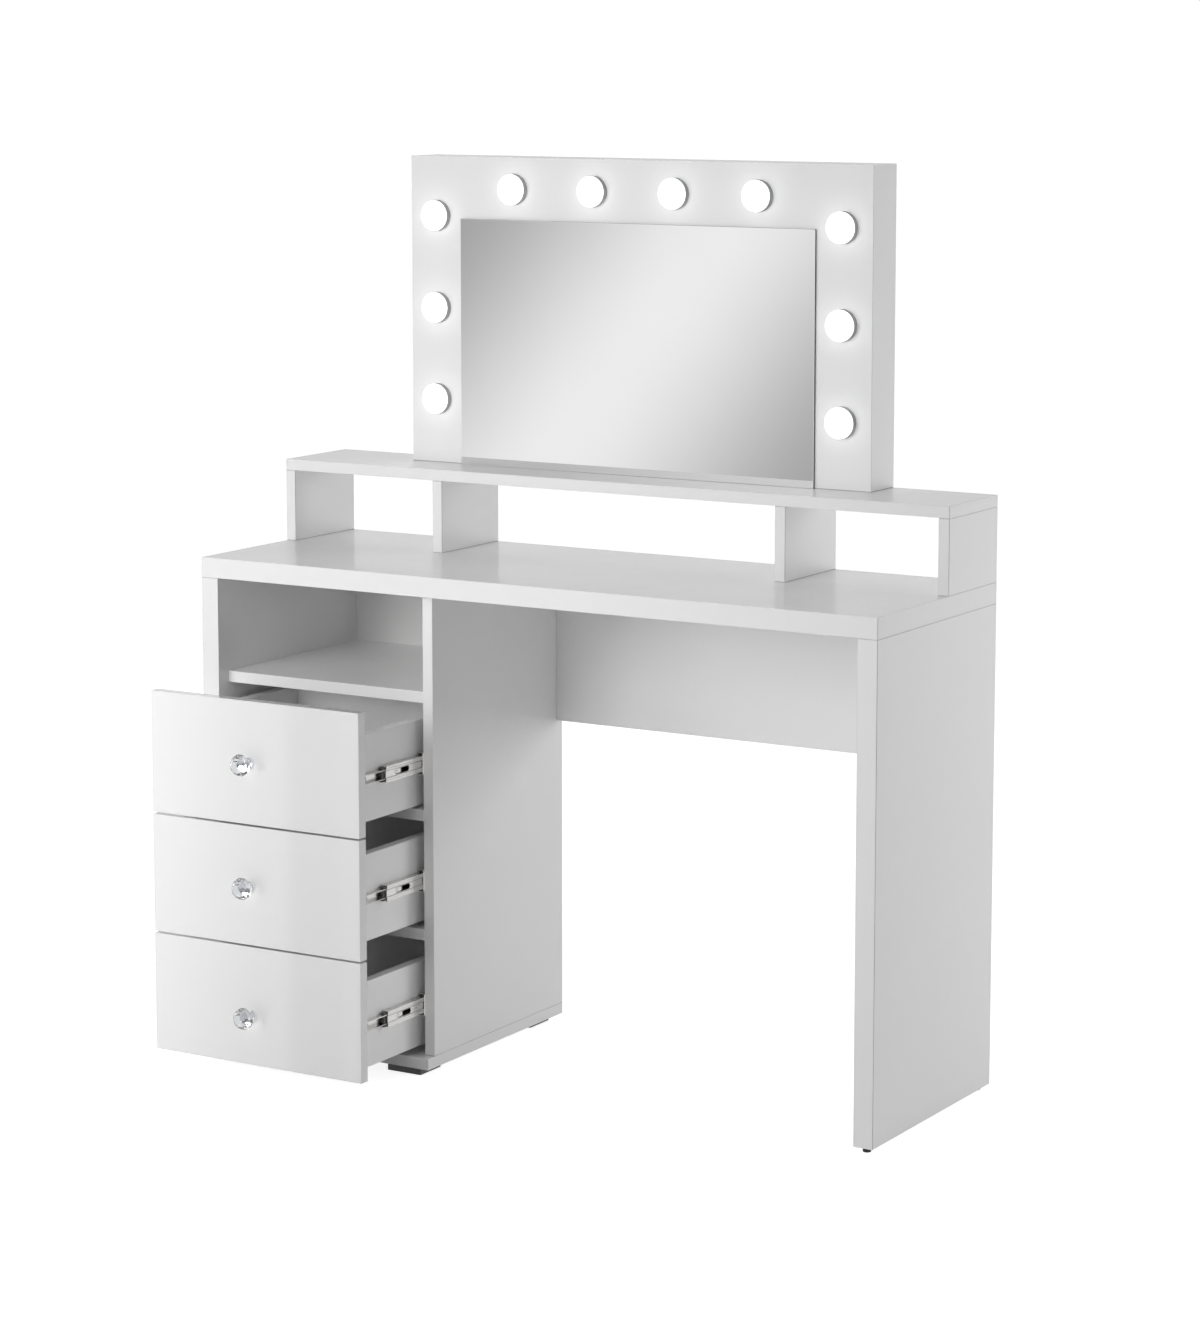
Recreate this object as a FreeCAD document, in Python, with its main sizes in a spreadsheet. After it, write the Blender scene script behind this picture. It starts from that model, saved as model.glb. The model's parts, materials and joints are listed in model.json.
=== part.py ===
import FreeCAD, Part
import math
import os
import Sketcher

# White dressing table with three drawers, a raised back shelf and a mirror box with ten lamps.
# Millimetres, floor at Z = 0, front towards -Y. The origin is the middle of the floor space that the
# table takes with its drawers open.

# Driving sizes: name, value, what it measures.
SIZES = (
    ("top_width", 1200.0, "table top, left to right"),
    ("top_depth", 400.0, "table top, front to back"),
    ("top_thickness", 32.0, "table top"),
    ("table_height", 790.0, "floor to the table top's upper face"),
    ("side_thickness", 32.0, "left and right side panels"),
    ("board_thickness", 18.0, "inner boards of the table"),
    ("edge_radius", 0.8, "rounding of board edges"),
    ("pedestal_width", 427.0, "drawer pedestal, outside"),
    ("foot_length", 62.0, "pedestal foot, left to right"),
    ("foot_width", 57.0, "pedestal foot, front to back"),
    ("foot_height", 13.0, "pedestal foot"),
    ("foot_side_inset", 21.0, "foot from the pedestal's side"),
    ("foot_end_inset", 10.0, "foot from the pedestal's front or back"),
    ("foot_edge_radius", 1.5, "rounding of a foot's edges"),
    ("glide_diameter", 13.0, "round glide under the right panel"),
    ("glide_height", 8.0, "glide, floor to panel"),
    ("glide_inset", 14.0, "glide's axis from the panel's front or back"),
    ("niche_height", 152.0, "open niche above the drawers"),
    ("shelf_setback", 6.5, "niche shelf behind the partition's front edge"),
    ("modesty_height", 252.0, "panel behind the knee space"),
    ("front_thickness", 18.0, "drawer front"),
    ("front_clearance", 0.5, "closed drawer front to the partition's edge"),
    ("front_side_gap", 2.5, "drawer front's gap at either side"),
    ("front_gap", 3.0, "gap between drawer fronts"),
    ("front_foot_gap", 4.5, "lowest drawer front above the bottom board"),
    ("upper_front_extra", 5.6, "upper drawer front taller than the two others"),
    ("drawer_open", 179.0, "how far the drawers stand open"),
    ("drawer_rear_gap", 14.0, "closed drawer box to the pedestal's back"),
    ("drawer_side_drop", 51.3, "drawer box sides lower than the two equal fronts"),
    ("drawer_board", 16.0, "drawer box sides and rear"),
    ("upper_drawer_lift", 5.0, "upper drawer box above the board under it"),
    ("middle_drawer_lift", 9.0, "middle drawer box above the board under it"),
    ("lower_drawer_lift", 12.5, "lower drawer box above the board under it"),
    ("drawer_bottom", 3.0, "drawer bottom sheet"),
    ("groove_depth", 6.0, "groove for the drawer bottom"),
    ("groove_height", 10.0, "groove above the side's lower edge"),
    ("groove_play", 0.2, "drawer bottom in its groove"),
    ("rail_gap", 12.7, "space for the rails beside a drawer box"),
    ("rail_wall", 1.2, "rolled steel of the rails"),
    ("rail_play", 0.3, "between nested rail members"),
    ("rail_side_clearance", 1.0, "rail flanges to the drawer side"),
    ("rail_end_gap", 1.0, "rail's front end behind the edge in front of it"),
    ("cabinet_rail_height", 36.0, "rail member on the pedestal"),
    ("outer_ball_gap", 4.3, "ball race between the pedestal's member and the middle one"),
    ("inner_ball_gap", 3.3, "ball race between the middle member and the drawer's"),
    ("middle_rail_share", 0.56, "middle member's travel per drawer travel"),
    ("slot_length", 40.0, "slot in the middle rail member"),
    ("slot_height", 9.0, "slot in the middle rail member"),
    ("slot_inset", 24.0, "slot behind the member's front end"),
    ("lower_knob_drop", 15.0, "lowest knob below its front's middle"),
    ("knob_base_diameter", 20.0, "knob's metal flange"),
    ("knob_flange_height", 3.0, "knob's metal flange"),
    ("knob_stem_diameter", 10.0, "knob's metal stem"),
    ("knob_base_length", 12.0, "drawer front to crystal"),
    ("knob_screw_diameter", 4.0, "screw that holds the knob"),
    ("knob_screw_head_diameter", 8.4, "screw head inside the drawer"),
    ("knob_screw_head_height", 2.5, "screw head inside the drawer"),
    ("knob_screw_grip", 7.0, "screw's length in the knob"),
    ("knob_screw_play", 0.05, "screw's radial play in the knob"),
    ("knob_bore_play", 0.3, "screw's radial play in the drawer front"),
    ("knob_bore_tail", 1.0, "knob's bore past the screw's end"),
    ("crystal_diameter", 34.0, "crystal at its girdle"),
    ("crystal_length", 20.0, "crystal, back to front"),
    ("crystal_back_diameter", 16.0, "crystal where it meets the stem"),
    ("crystal_table_diameter", 22.0, "crystal's flat front"),
    ("crystal_back_length", 8.0, "crystal's back to its girdle"),
    ("crystal_girdle_width", 3.0, "crystal's girdle"),
    ("hutch_height", 134.0, "table top to the raised shelf's upper face"),
    ("hutch_depth", 168.0, "raised shelf, front to back"),
    ("hutch_board", 18.0, "raised shelf and its supports"),
    ("left_bay", 269.0, "clear width under the raised shelf at the left"),
    ("right_bay", 256.0, "clear width under the raised shelf at the right"),
    ("mirror_left", 190.0, "mirror box from the table's left side"),
    ("mirror_width", 834.0, "mirror box, left to right"),
    ("mirror_height", 495.0, "mirror box above the raised shelf"),
    ("mirror_depth", 77.0, "mirror box, front to back"),
    ("mirror_board", 16.0, "mitred boards of the mirror box"),
    ("mirror_back", 3.0, "back sheet of the mirror box"),
    ("glass_side_margin", 96.0, "mirror glass from the mirror box's sides"),
    ("glass_top_margin", 99.0, "mirror glass from the mirror box's top"),
    ("glass_thickness", 4.0, "mirror glass"),
    ("glass_edge_radius", 0.6, "rounding of the glass edges"),
    ("lamp_diameter", 50.0, "lamp's skirt"),
    ("lamp_skirt_depth", 10.0, "lamp's skirt in front of the panel"),
    ("lamp_neck_diameter", 25.0, "lamp's neck through the panel"),
    ("lamp_neck_tail", 6.0, "lamp's neck behind the panel"),
    ("lamp_neck_clearance", 0.2, "lamp's neck in its hole"),
    ("diffuser_rim", 0.5, "skirt's rim around the lamp's white cap"),
    ("diffuser_rise", 4.0, "crown of the lamp's white cap"),
    ("lamp_edge_inset", 50.0, "side lamps' axes from the mirror box's side"),
    ("top_lamp_drop", 50.5, "lamps above the glass below the box's top"),
    ("top_lamp_pitch", 147.5, "lamps above the glass, axis to axis"),
    ("side_lamp_drop", 95.0, "highest side lamp below the box's top"),
    ("side_lamp_pitch", 148.0, "lamps beside the glass, axis to axis"),
    ("wire_width", 10.0, "flat cable behind the lamps"),
    ("wire_thickness", 2.0, "flat cable behind the lamps"),
    ("driver_length", 140.0, "lamp driver, left to right"),
    ("driver_depth", 34.0, "lamp driver, front to back"),
    ("driver_height", 28.0, "lamp driver"),
    ("driver_edge_radius", 2.0, "rounding of the driver's edges"),
    ("inlet_diameter", 11.0, "power inlet's barrel"),
    ("inlet_length", 14.0, "power inlet's barrel"),
    ("inlet_bore_diameter", 5.5, "power inlet's socket"),
    ("inlet_bore_depth", 10.0, "power inlet's socket"),
    ("inlet_nut_diameter", 16.0, "power inlet's nut"),
    ("inlet_nut_thickness", 2.0, "power inlet's nut"),
    ("inlet_clearance", 0.1, "power inlet in the back sheet"),
    ("inlet_rise", 60.0, "power inlet above the raised shelf"),
    ("inlet_inset", 120.0, "power inlet from the mirror box's right side"),
    ("dowel_diameter", 8.0, "dowel"),
    ("dowel_length", 30.0, "dowel"),
    ("dowel_face_depth", 12.0, "dowel in the face of a board"),
    ("dowel_clearance", 0.05, "dowel's radial play"),
    ("dowel_end_play", 0.5, "bore past either end of a dowel"),
    ("dowel_inset", 40.0, "dowel from a board's front or back edge"),
    ("fixing_screw_diameter", 6.0, "screw that holds the mirror box"),
    ("fixing_screw_grip", 12.0, "its length in the mirror box's bottom board"),
    ("fixing_screw_head_diameter", 11.0, "its head"),
    ("fixing_screw_head_height", 4.0, "its head"),
    ("fixing_screw_play", 0.1, "its radial play"),
    ("fixing_screw_inset", 60.0, "outer screw from the inner support beside it"),
)

# Counts and shapes that are no lengths.
CRYSTAL_SIDES = 12
TOP_LAMPS = 4
SIDE_LAMPS = 3
FIXING_SCREWS = 4
DRAWER_COUNT = 3
FULL_TURN = 360
CUT_PAST = 3

# Planes of the table as expressions on the sizes.
LEFT = "(-Sizes.top_width / 2)"
RIGHT = "(Sizes.top_width / 2)"
KNOB_REACH = "(Sizes.knob_base_length + Sizes.crystal_length)"
FRONT = f"((Sizes.drawer_open + {KNOB_REACH} - Sizes.top_depth) / 2)"
BACK = f"({FRONT} + Sizes.top_depth)"
TOP_UNDER = "(Sizes.table_height - Sizes.top_thickness)"
BACK_FACE = f"({BACK} - Sizes.board_thickness)"

# Planes of the pedestal.
PEDESTAL_RIGHT = f"({LEFT} + Sizes.pedestal_width)"
PARTITION = f"({PEDESTAL_RIGHT} - Sizes.board_thickness)"
PARTITION_FRONT = f"({FRONT} + Sizes.front_thickness + Sizes.front_clearance)"
BAY_LEFT = f"({LEFT} + Sizes.side_thickness)"
BAY_WIDTH = "(Sizes.pedestal_width - Sizes.board_thickness - Sizes.side_thickness)"
BOTTOM_TOP = "(Sizes.foot_height + Sizes.board_thickness)"
SHELF_TOP = f"({TOP_UNDER} - Sizes.niche_height)"
RIGHT_PANEL = f"({RIGHT} - Sizes.side_thickness)"

# Planes of the raised shelf and the mirror box.
HUTCH_TOP = "(Sizes.table_height + Sizes.hutch_height)"
HUTCH_UNDER = f"({HUTCH_TOP} - Sizes.hutch_board)"
HUTCH_FRONT = f"({BACK} - Sizes.hutch_depth)"
MIRROR_X = f"({LEFT} + Sizes.mirror_left)"
MIRROR_RIGHT = f"({MIRROR_X} + Sizes.mirror_width)"
MIRROR_Y = f"({BACK} - Sizes.mirror_depth)"
MIRROR_TOP = f"({HUTCH_TOP} + Sizes.mirror_height)"
MIRROR_SHELL = "(Sizes.mirror_depth - Sizes.mirror_back)"
BACK_SHEET = f"({BACK} - Sizes.mirror_back)"

# Edges of the drawer fronts, from the lowest one up, between the bottom board and the niche shelf.
LOWER_BOTTOM = f"({BOTTOM_TOP} + Sizes.front_foot_gap)"
FRONT_GAPS = f"({DRAWER_COUNT - 1} * Sizes.front_gap)"
FRONT_STACK = f"({SHELF_TOP} - {LOWER_BOTTOM} - {FRONT_GAPS} - Sizes.upper_front_extra)"
FRONT_HEIGHT = f"({FRONT_STACK} / {DRAWER_COUNT})"
LOWER_TOP = f"({LOWER_BOTTOM} + {FRONT_HEIGHT})"
MIDDLE_BOTTOM = f"({LOWER_TOP} + Sizes.front_gap)"
MIDDLE_TOP = f"({MIDDLE_BOTTOM} + {FRONT_HEIGHT})"
UPPER_BOTTOM = f"({MIDDLE_TOP} + Sizes.front_gap)"
UPPER_DIVIDER_TOP = f"({UPPER_BOTTOM} + (Sizes.board_thickness - Sizes.front_gap) / 2)"
LOWER_DIVIDER_TOP = f"({MIDDLE_BOTTOM} + (Sizes.board_thickness - Sizes.front_gap) / 2)"

# Each drawer: name, bottom and top of its front, bottom of its box, knob below the front's middle.
DRAWERS = (
    ("upper", UPPER_BOTTOM, SHELF_TOP, f"({UPPER_DIVIDER_TOP} + Sizes.upper_drawer_lift)", "0"),
    ("middle", MIDDLE_BOTTOM, MIDDLE_TOP, f"({LOWER_DIVIDER_TOP} + Sizes.middle_drawer_lift)", "0"),
    ("lower", LOWER_BOTTOM, LOWER_TOP, f"({BOTTOM_TOP} + Sizes.lower_drawer_lift)", "Sizes.lower_knob_drop"),
)

# Planes that the drawers share, as they stand open.
DRAWER_FRONT = f"({FRONT} - Sizes.drawer_open)"
DRAWER_BACK_OF_FRONT = f"({DRAWER_FRONT} + Sizes.front_thickness)"
DRAWER_LENGTH = f"({BACK_FACE} - {FRONT} - Sizes.front_thickness - Sizes.drawer_rear_gap)"
DRAWER_REAR = f"({DRAWER_BACK_OF_FRONT} + {DRAWER_LENGTH})"
SIDE_HEIGHT = f"({FRONT_HEIGHT} - Sizes.drawer_side_drop)"
BOX_LEFT = f"({BAY_LEFT} + Sizes.rail_gap)"
BOX_RIGHT = f"({PARTITION} - Sizes.rail_gap)"
BOX_WIDTH = f"({BAY_WIDTH} - 2 * Sizes.rail_gap)"
KNOB_X = f"({BAY_LEFT} + {BAY_WIDTH} / 2)"

# Turns that point a piece made along +Z another way, or face a left-hand rail to the right.
ALONG_X = FreeCAD.Rotation(FreeCAD.Vector(0, 1, 0), 90)
ALONG_Z = FreeCAD.Rotation()
TO_FRONT = FreeCAD.Rotation(FreeCAD.Vector(1, 0, 0), 90)
RIGHT_HANDED = FreeCAD.Rotation(FreeCAD.Vector(0, 1, 0), 180)
WEDGE_TO_RIGHT = FreeCAD.Rotation(FreeCAD.Vector(0, 0, 1), -90)
WEDGE_TO_LEFT = FreeCAD.Rotation(FreeCAD.Vector(0, 0, 1), 90)
WEDGE_DOWN = FreeCAD.Rotation(FreeCAD.Vector(1, 0, 0), -90)

doc = FreeCAD.newDocument("dressing_table")
nodes = []
cutters = {}


def make_sheet():
    """Writes the driving sizes to the sheet, one named cell each."""
    sheet = doc.addObject("Spreadsheet::Sheet", "Sizes")
    for row, (alias, value, meaning) in enumerate(SIZES, start=1):
        sheet.set(f"A{row}", meaning)
        sheet.set(f"B{row}", str(value))
        sheet.setAlias(f"B{row}", alias)
    doc.recompute()
    return sheet


sizes = make_sheet()


def place(item, corner):
    """Ties a piece's place to expressions for X, Y and Z."""
    for axis, text in zip("xyz", corner):
        item.setExpression(f"Placement.Base.{axis}", text)
    return item


def block(name, size, corner):
    """A plain block from its sizes along X, Y and Z and its lowest corner."""
    box = doc.addObject("Part::Box", name)
    for side, text in zip(("Length", "Width", "Height"), size):
        box.setExpression(side, text)
    return place(box, corner)


def eased(name, blank, radius):
    """A blank with all its edges rounded."""
    doc.recompute()
    rounded = doc.addObject("Part::Fillet", name)
    rounded.Base = blank
    rounded.Edges = [(edge, radius, radius) for edge in range(1, len(blank.Shape.Edges) + 1)]
    return rounded


def board(name, size, corner):
    """A board with eased edges, still without its bores."""
    return eased(f"{name}_eased", block(f"{name}_blank", size, corner), sizes.edge_radius)


def rod(name, diameter, length, start, turn):
    """A round rod from its start along its turned axis."""
    cylinder = doc.addObject("Part::Cylinder", name)
    cylinder.setExpression("Radius", f"({diameter}) / 2")
    cylinder.setExpression("Height", length)
    cylinder.Placement = FreeCAD.Placement(FreeCAD.Vector(), turn)
    return place(cylinder, start)


def cut_from(tool, *names):
    """Notes a bore or groove for the pieces that it passes through."""
    for name in names:
        cutters.setdefault(name, []).append(tool)


def group(name, members):
    """Several solids under one name."""
    compound = doc.addObject("Part::Compound", name)
    compound.Links = members
    return compound


def node(name, piece):
    """Names a finished piece."""
    piece.Label = name
    nodes.append(piece)


def finish(name, blank):
    """Takes a piece's bores and grooves out of it and names it."""
    if name not in cutters:
        node(name, blank)
        return
    cut = doc.addObject("Part::Cut", f"{name}_bored")
    cut.Base = blank
    cut.Tool = group(f"{name}_cutters", cutters[name])
    node(name, cut)


def outline(body, name, role, corners):
    """A closed outline on one of a body's planes, each corner tied to expressions from the origin."""
    sketch = body.newObject("Sketcher::SketchObject", name)
    plane = next(item for item in body.Origin.OriginFeatures if item.Role == role)
    sketch.AttachmentSupport = (plane, [""])
    sketch.MapMode = "FlatFace"
    count = len(corners)
    turns = [2 * math.pi * index / count for index in range(count)]
    start = [FreeCAD.Vector(2 + math.cos(turn), 2 + math.sin(turn), 0) for turn in turns]
    for index in range(count):
        sketch.addGeometry(Part.LineSegment(start[index], start[(index + 1) % count]))
    for index, corner in enumerate(corners):
        sketch.addConstraint(Sketcher.Constraint("Coincident", index, 2, (index + 1) % count, 1))
        for kind, axis, text in zip(("DistanceX", "DistanceY"), (-2, -1), corner):
            if text == "0":
                sketch.addConstraint(Sketcher.Constraint("PointOnObject", index, 1, axis))
                continue
            constraint = sketch.addConstraint(Sketcher.Constraint(kind, -1, 1, index, 1, 1.0))
            sketch.setExpression(f"Constraints[{constraint}]", text)
    return sketch


def turned(name, corners):
    """A turned piece about +Z from the outline of its half section."""
    body = doc.addObject("PartDesign::Body", name)
    half = outline(body, f"{name}_half", "XZ_Plane", corners)
    spin = body.newObject("PartDesign::Revolution", f"{name}_spin")
    spin.Profile = half
    spin.ReferenceAxis = (half, ["V_Axis"])
    spin.Angle = FULL_TURN
    return body


def copy(name, master, turn, corner):
    """A copy of a master piece, turned and placed."""
    link = doc.addObject("App::Link", name)
    link.LinkedObject = master
    link.Placement = FreeCAD.Placement(FreeCAD.Vector(), turn)
    return place(link, corner)


def moved(point, axis, shift):
    """A point with an expression added to one of its coordinates."""
    return [f"({text} + ({shift}))" if index == axis else text for index, text in enumerate(point)]


dowels = []


def dowel(face_board, end_board, axis, sign, point):
    """A dowel from the face of one board into the end of another, which lies towards the sign."""
    turn = ALONG_X if axis == 0 else ALONG_Z
    name = f"dowel_{len(dowels) + 1}"
    back = "-Sizes.dowel_face_depth" if sign > 0 else "Sizes.dowel_face_depth - Sizes.dowel_length"
    start = moved(point, axis, back)
    bore_length = "Sizes.dowel_length + 2 * Sizes.dowel_end_play"
    bore_start = moved(start, axis, "-Sizes.dowel_end_play")
    bore = rod(f"{name}_bore", "Sizes.dowel_diameter", bore_length, bore_start, turn)
    cut_from(bore, face_board, end_board)
    body_diameter = "Sizes.dowel_diameter - 2 * Sizes.dowel_clearance"
    dowels.append(rod(name, body_diameter, "Sizes.dowel_length", start, turn))


def dowel_places(front, back, count):
    """Expressions for dowels spread evenly between a board's front and back edges."""
    first = f"({front} + Sizes.dowel_inset)"
    span = f"({back} - {front} - 2 * Sizes.dowel_inset)"
    return [f"({first} + {span} * {index} / {count - 1})" for index in range(count)]


# Table top, side panels and the boards of the pedestal.
carcass = {
    "table_top": board(
        "table_top",
        ("Sizes.top_width", "Sizes.top_depth", "Sizes.top_thickness"),
        (LEFT, FRONT, TOP_UNDER)),
    "left_side_panel": board(
        "left_side_panel",
        ("Sizes.side_thickness", "Sizes.top_depth", f"{TOP_UNDER} - {BOTTOM_TOP}"),
        (LEFT, FRONT, BOTTOM_TOP)),
    "right_side_panel": board(
        "right_side_panel",
        ("Sizes.side_thickness", "Sizes.top_depth", f"{TOP_UNDER} - Sizes.glide_height"),
        (RIGHT_PANEL, FRONT, "Sizes.glide_height")),
    "partition_panel": board(
        "partition_panel",
        ("Sizes.board_thickness", f"{BACK} - {PARTITION_FRONT}", f"{TOP_UNDER} - {BOTTOM_TOP}"),
        (PARTITION, PARTITION_FRONT, BOTTOM_TOP)),
    "pedestal_bottom": board(
        "pedestal_bottom",
        ("Sizes.pedestal_width", "Sizes.top_depth", "Sizes.board_thickness"),
        (LEFT, FRONT, "Sizes.foot_height")),
    "niche_shelf": board(
        "niche_shelf",
        (BAY_WIDTH, f"{BACK_FACE} - {PARTITION_FRONT} - Sizes.shelf_setback", "Sizes.board_thickness"),
        (BAY_LEFT, f"{PARTITION_FRONT} + Sizes.shelf_setback", f"{SHELF_TOP} - Sizes.board_thickness")),
    "upper_divider": board(
        "upper_divider",
        (BAY_WIDTH, f"{BACK_FACE} - {PARTITION_FRONT}", "Sizes.board_thickness"),
        (BAY_LEFT, PARTITION_FRONT, f"{UPPER_DIVIDER_TOP} - Sizes.board_thickness")),
    "lower_divider": board(
        "lower_divider",
        (BAY_WIDTH, f"{BACK_FACE} - {PARTITION_FRONT}", "Sizes.board_thickness"),
        (BAY_LEFT, PARTITION_FRONT, f"{LOWER_DIVIDER_TOP} - Sizes.board_thickness")),
    "pedestal_back": board(
        "pedestal_back",
        (BAY_WIDTH, "Sizes.board_thickness", f"{TOP_UNDER} - {BOTTOM_TOP}"),
        (BAY_LEFT, BACK_FACE, BOTTOM_TOP)),
    "modesty_panel": board(
        "modesty_panel",
        (f"{RIGHT_PANEL} - {PEDESTAL_RIGHT}", "Sizes.board_thickness", "Sizes.modesty_height"),
        (PEDESTAL_RIGHT, BACK_FACE, f"{TOP_UNDER} - Sizes.modesty_height")),
}

# Raised shelf on two ends and two inner supports.
SUPPORTS = {
    "hutch_left_end": LEFT,
    "hutch_left_support": f"({LEFT} + Sizes.hutch_board + Sizes.left_bay)",
    "hutch_right_support": f"({RIGHT} - 2 * Sizes.hutch_board - Sizes.right_bay)",
    "hutch_right_end": f"({RIGHT} - Sizes.hutch_board)",
}
carcass["hutch_shelf"] = board(
    "hutch_shelf",
    ("Sizes.top_width", "Sizes.hutch_depth", "Sizes.hutch_board"),
    (LEFT, HUTCH_FRONT, HUTCH_UNDER))
for support, left_face in SUPPORTS.items():
    carcass[support] = board(
        support,
        ("Sizes.hutch_board", "Sizes.hutch_depth", f"{HUTCH_UNDER} - Sizes.table_height"),
        (left_face, HUTCH_FRONT, "Sizes.table_height"))

# Dowels: panels under the table top and on the bottom board.
UPRIGHTS = (
    ("left_side_panel", f"({LEFT} + Sizes.side_thickness / 2)", FRONT, True),
    ("partition_panel", f"({PARTITION} + Sizes.board_thickness / 2)", PARTITION_FRONT, True),
    ("right_side_panel", f"({RIGHT} - Sizes.side_thickness / 2)", FRONT, False),
)
for panel, middle, front_edge, on_bottom in UPRIGHTS:
    for depth in dowel_places(front_edge, BACK, 3):
        dowel("table_top", panel, 2, -1, (middle, depth, TOP_UNDER))
        if on_bottom:
            dowel("pedestal_bottom", panel, 2, 1, (middle, depth, BOTTOM_TOP))

# Dowels: supports between the table top and the raised shelf.
for support, left_face in SUPPORTS.items():
    for depth in dowel_places(HUTCH_FRONT, BACK, 2):
        middle = f"({left_face} + Sizes.hutch_board / 2)"
        dowel("table_top", support, 2, 1, (middle, depth, "Sizes.table_height"))
        dowel("hutch_shelf", support, 2, -1, (middle, depth, HUTCH_UNDER))

# Dowels: shelf and dividers between the left panel and the partition.
LEVELS = (
    ("niche_shelf", SHELF_TOP, f"({PARTITION_FRONT} + Sizes.shelf_setback)"),
    ("upper_divider", UPPER_DIVIDER_TOP, PARTITION_FRONT),
    ("lower_divider", LOWER_DIVIDER_TOP, PARTITION_FRONT),
)
for shelf, upper_face, front_edge in LEVELS:
    for depth in dowel_places(front_edge, BACK_FACE, 2):
        height = f"({upper_face} - Sizes.board_thickness / 2)"
        dowel("left_side_panel", shelf, 0, 1, (BAY_LEFT, depth, height))
        dowel("partition_panel", shelf, 0, -1, (PARTITION, depth, height))

# Dowels: upright back boards between their side panels. The partition is bored from both faces, so the
# modesty panel's dowels lie lower than those of the pedestal's back.
BACK_MIDDLE = f"({BACK_FACE} + Sizes.board_thickness / 2)"
MODESTY_BOTTOM = f"({TOP_UNDER} - Sizes.modesty_height)"
for height in dowel_places(MODESTY_BOTTOM, TOP_UNDER, 2):
    dowel("partition_panel", "modesty_panel", 0, 1, (PEDESTAL_RIGHT, BACK_MIDDLE, height))
    dowel("right_side_panel", "modesty_panel", 0, -1, (RIGHT_PANEL, BACK_MIDDLE, height))
for height in dowel_places(BOTTOM_TOP, MODESTY_BOTTOM, 2):
    dowel("left_side_panel", "pedestal_back", 0, 1, (BAY_LEFT, BACK_MIDDLE, height))
    dowel("partition_panel", "pedestal_back", 0, -1, (PARTITION, BACK_MIDDLE, height))

# Mirror box: front, sides and top mitred together, with a bottom board inside and a back sheet.
INSIDE = "Sizes.mirror_board"


def mitred(name, turn, corner, outer, inner):
    """A mitred board: outer and inner face as lowest and highest X and Z of the wedge."""
    wedge = doc.addObject("Part::Wedge", name)
    for side, text in zip(("Xmin", "Xmax", "Zmin", "Zmax"), outer):
        wedge.setExpression(side, text)
    for side, text in zip(("X2min", "X2max", "Z2min", "Z2max"), inner):
        wedge.setExpression(side, text)
    wedge.setExpression("Ymin", "0")
    wedge.setExpression("Ymax", INSIDE)
    wedge.Placement = FreeCAD.Placement(FreeCAD.Vector(), turn)
    return place(wedge, corner)


INNER_WIDTH = f"Sizes.mirror_width - {INSIDE}"
INNER_HEIGHT = f"Sizes.mirror_height - {INSIDE}"
mirror_boards = {
    "mirror_front_panel": mitred(
        "mirror_front_blank", ALONG_Z, (MIRROR_X, MIRROR_Y, HUTCH_TOP),
        ("0", "Sizes.mirror_width", "0", "Sizes.mirror_height"),
        (INSIDE, INNER_WIDTH, "0", INNER_HEIGHT)),
    "mirror_box_left": mitred(
        "mirror_left_blank", WEDGE_TO_RIGHT, (MIRROR_X, MIRROR_Y, HUTCH_TOP),
        (f"-{MIRROR_SHELL}", "0", "0", "Sizes.mirror_height"),
        (f"-{MIRROR_SHELL}", f"-{INSIDE}", "0", INNER_HEIGHT)),
    "mirror_box_right": mitred(
        "mirror_right_blank", WEDGE_TO_LEFT, (MIRROR_RIGHT, MIRROR_Y, HUTCH_TOP),
        ("0", MIRROR_SHELL, "0", "Sizes.mirror_height"),
        (INSIDE, MIRROR_SHELL, "0", INNER_HEIGHT)),
    "mirror_box_top": mitred(
        "mirror_top_blank", WEDGE_DOWN, (MIRROR_X, MIRROR_Y, MIRROR_TOP),
        ("0", "Sizes.mirror_width", "0", MIRROR_SHELL),
        (INSIDE, INNER_WIDTH, INSIDE, MIRROR_SHELL)),
    "mirror_box_bottom": block(
        "mirror_bottom_blank",
        (f"{INNER_WIDTH} - {INSIDE}", f"{MIRROR_SHELL} - {INSIDE}", INSIDE),
        (f"{MIRROR_X} + {INSIDE}", f"{MIRROR_Y} + {INSIDE}", HUTCH_TOP)),
    "mirror_back_panel": block(
        "mirror_back_blank",
        ("Sizes.mirror_width", "Sizes.mirror_back", "Sizes.mirror_height"),
        (MIRROR_X, BACK_SHEET, HUTCH_TOP)),
}
glass = block(
    "mirror_glass_blank",
    ("Sizes.mirror_width - 2 * Sizes.glass_side_margin",
     "Sizes.glass_thickness",
     "Sizes.mirror_height - Sizes.glass_top_margin"),
    (f"{MIRROR_X} + Sizes.glass_side_margin",
     f"{MIRROR_Y} - Sizes.glass_thickness",
     HUTCH_TOP))

# Lamps: places on the front panel, then a skirt with its neck and a domed cap on each.
LAMP_LEFT = f"({MIRROR_X} + Sizes.lamp_edge_inset)"
LAMP_RIGHT = f"({MIRROR_RIGHT} - Sizes.lamp_edge_inset)"
LAMP_ROW = f"({MIRROR_TOP} - Sizes.top_lamp_drop)"
MIRROR_MIDDLE = f"({MIRROR_X} + Sizes.mirror_width / 2)"
LAMPS = [
    (f"({MIRROR_MIDDLE} + Sizes.top_lamp_pitch * ({index} - {TOP_LAMPS - 1} / 2))", LAMP_ROW)
    for index in range(TOP_LAMPS)
]
LAMPS += [
    (column, f"({MIRROR_TOP} - Sizes.side_lamp_drop - Sizes.side_lamp_pitch * {index})")
    for column in (LAMP_LEFT, LAMP_RIGHT)
    for index in range(SIDE_LAMPS)
]
NECK = "Sizes.lamp_neck_diameter / 2"
NECK_LENGTH = "(Sizes.mirror_board + Sizes.lamp_neck_tail)"
SKIRT_END = f"{NECK_LENGTH} + Sizes.lamp_skirt_depth"
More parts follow.
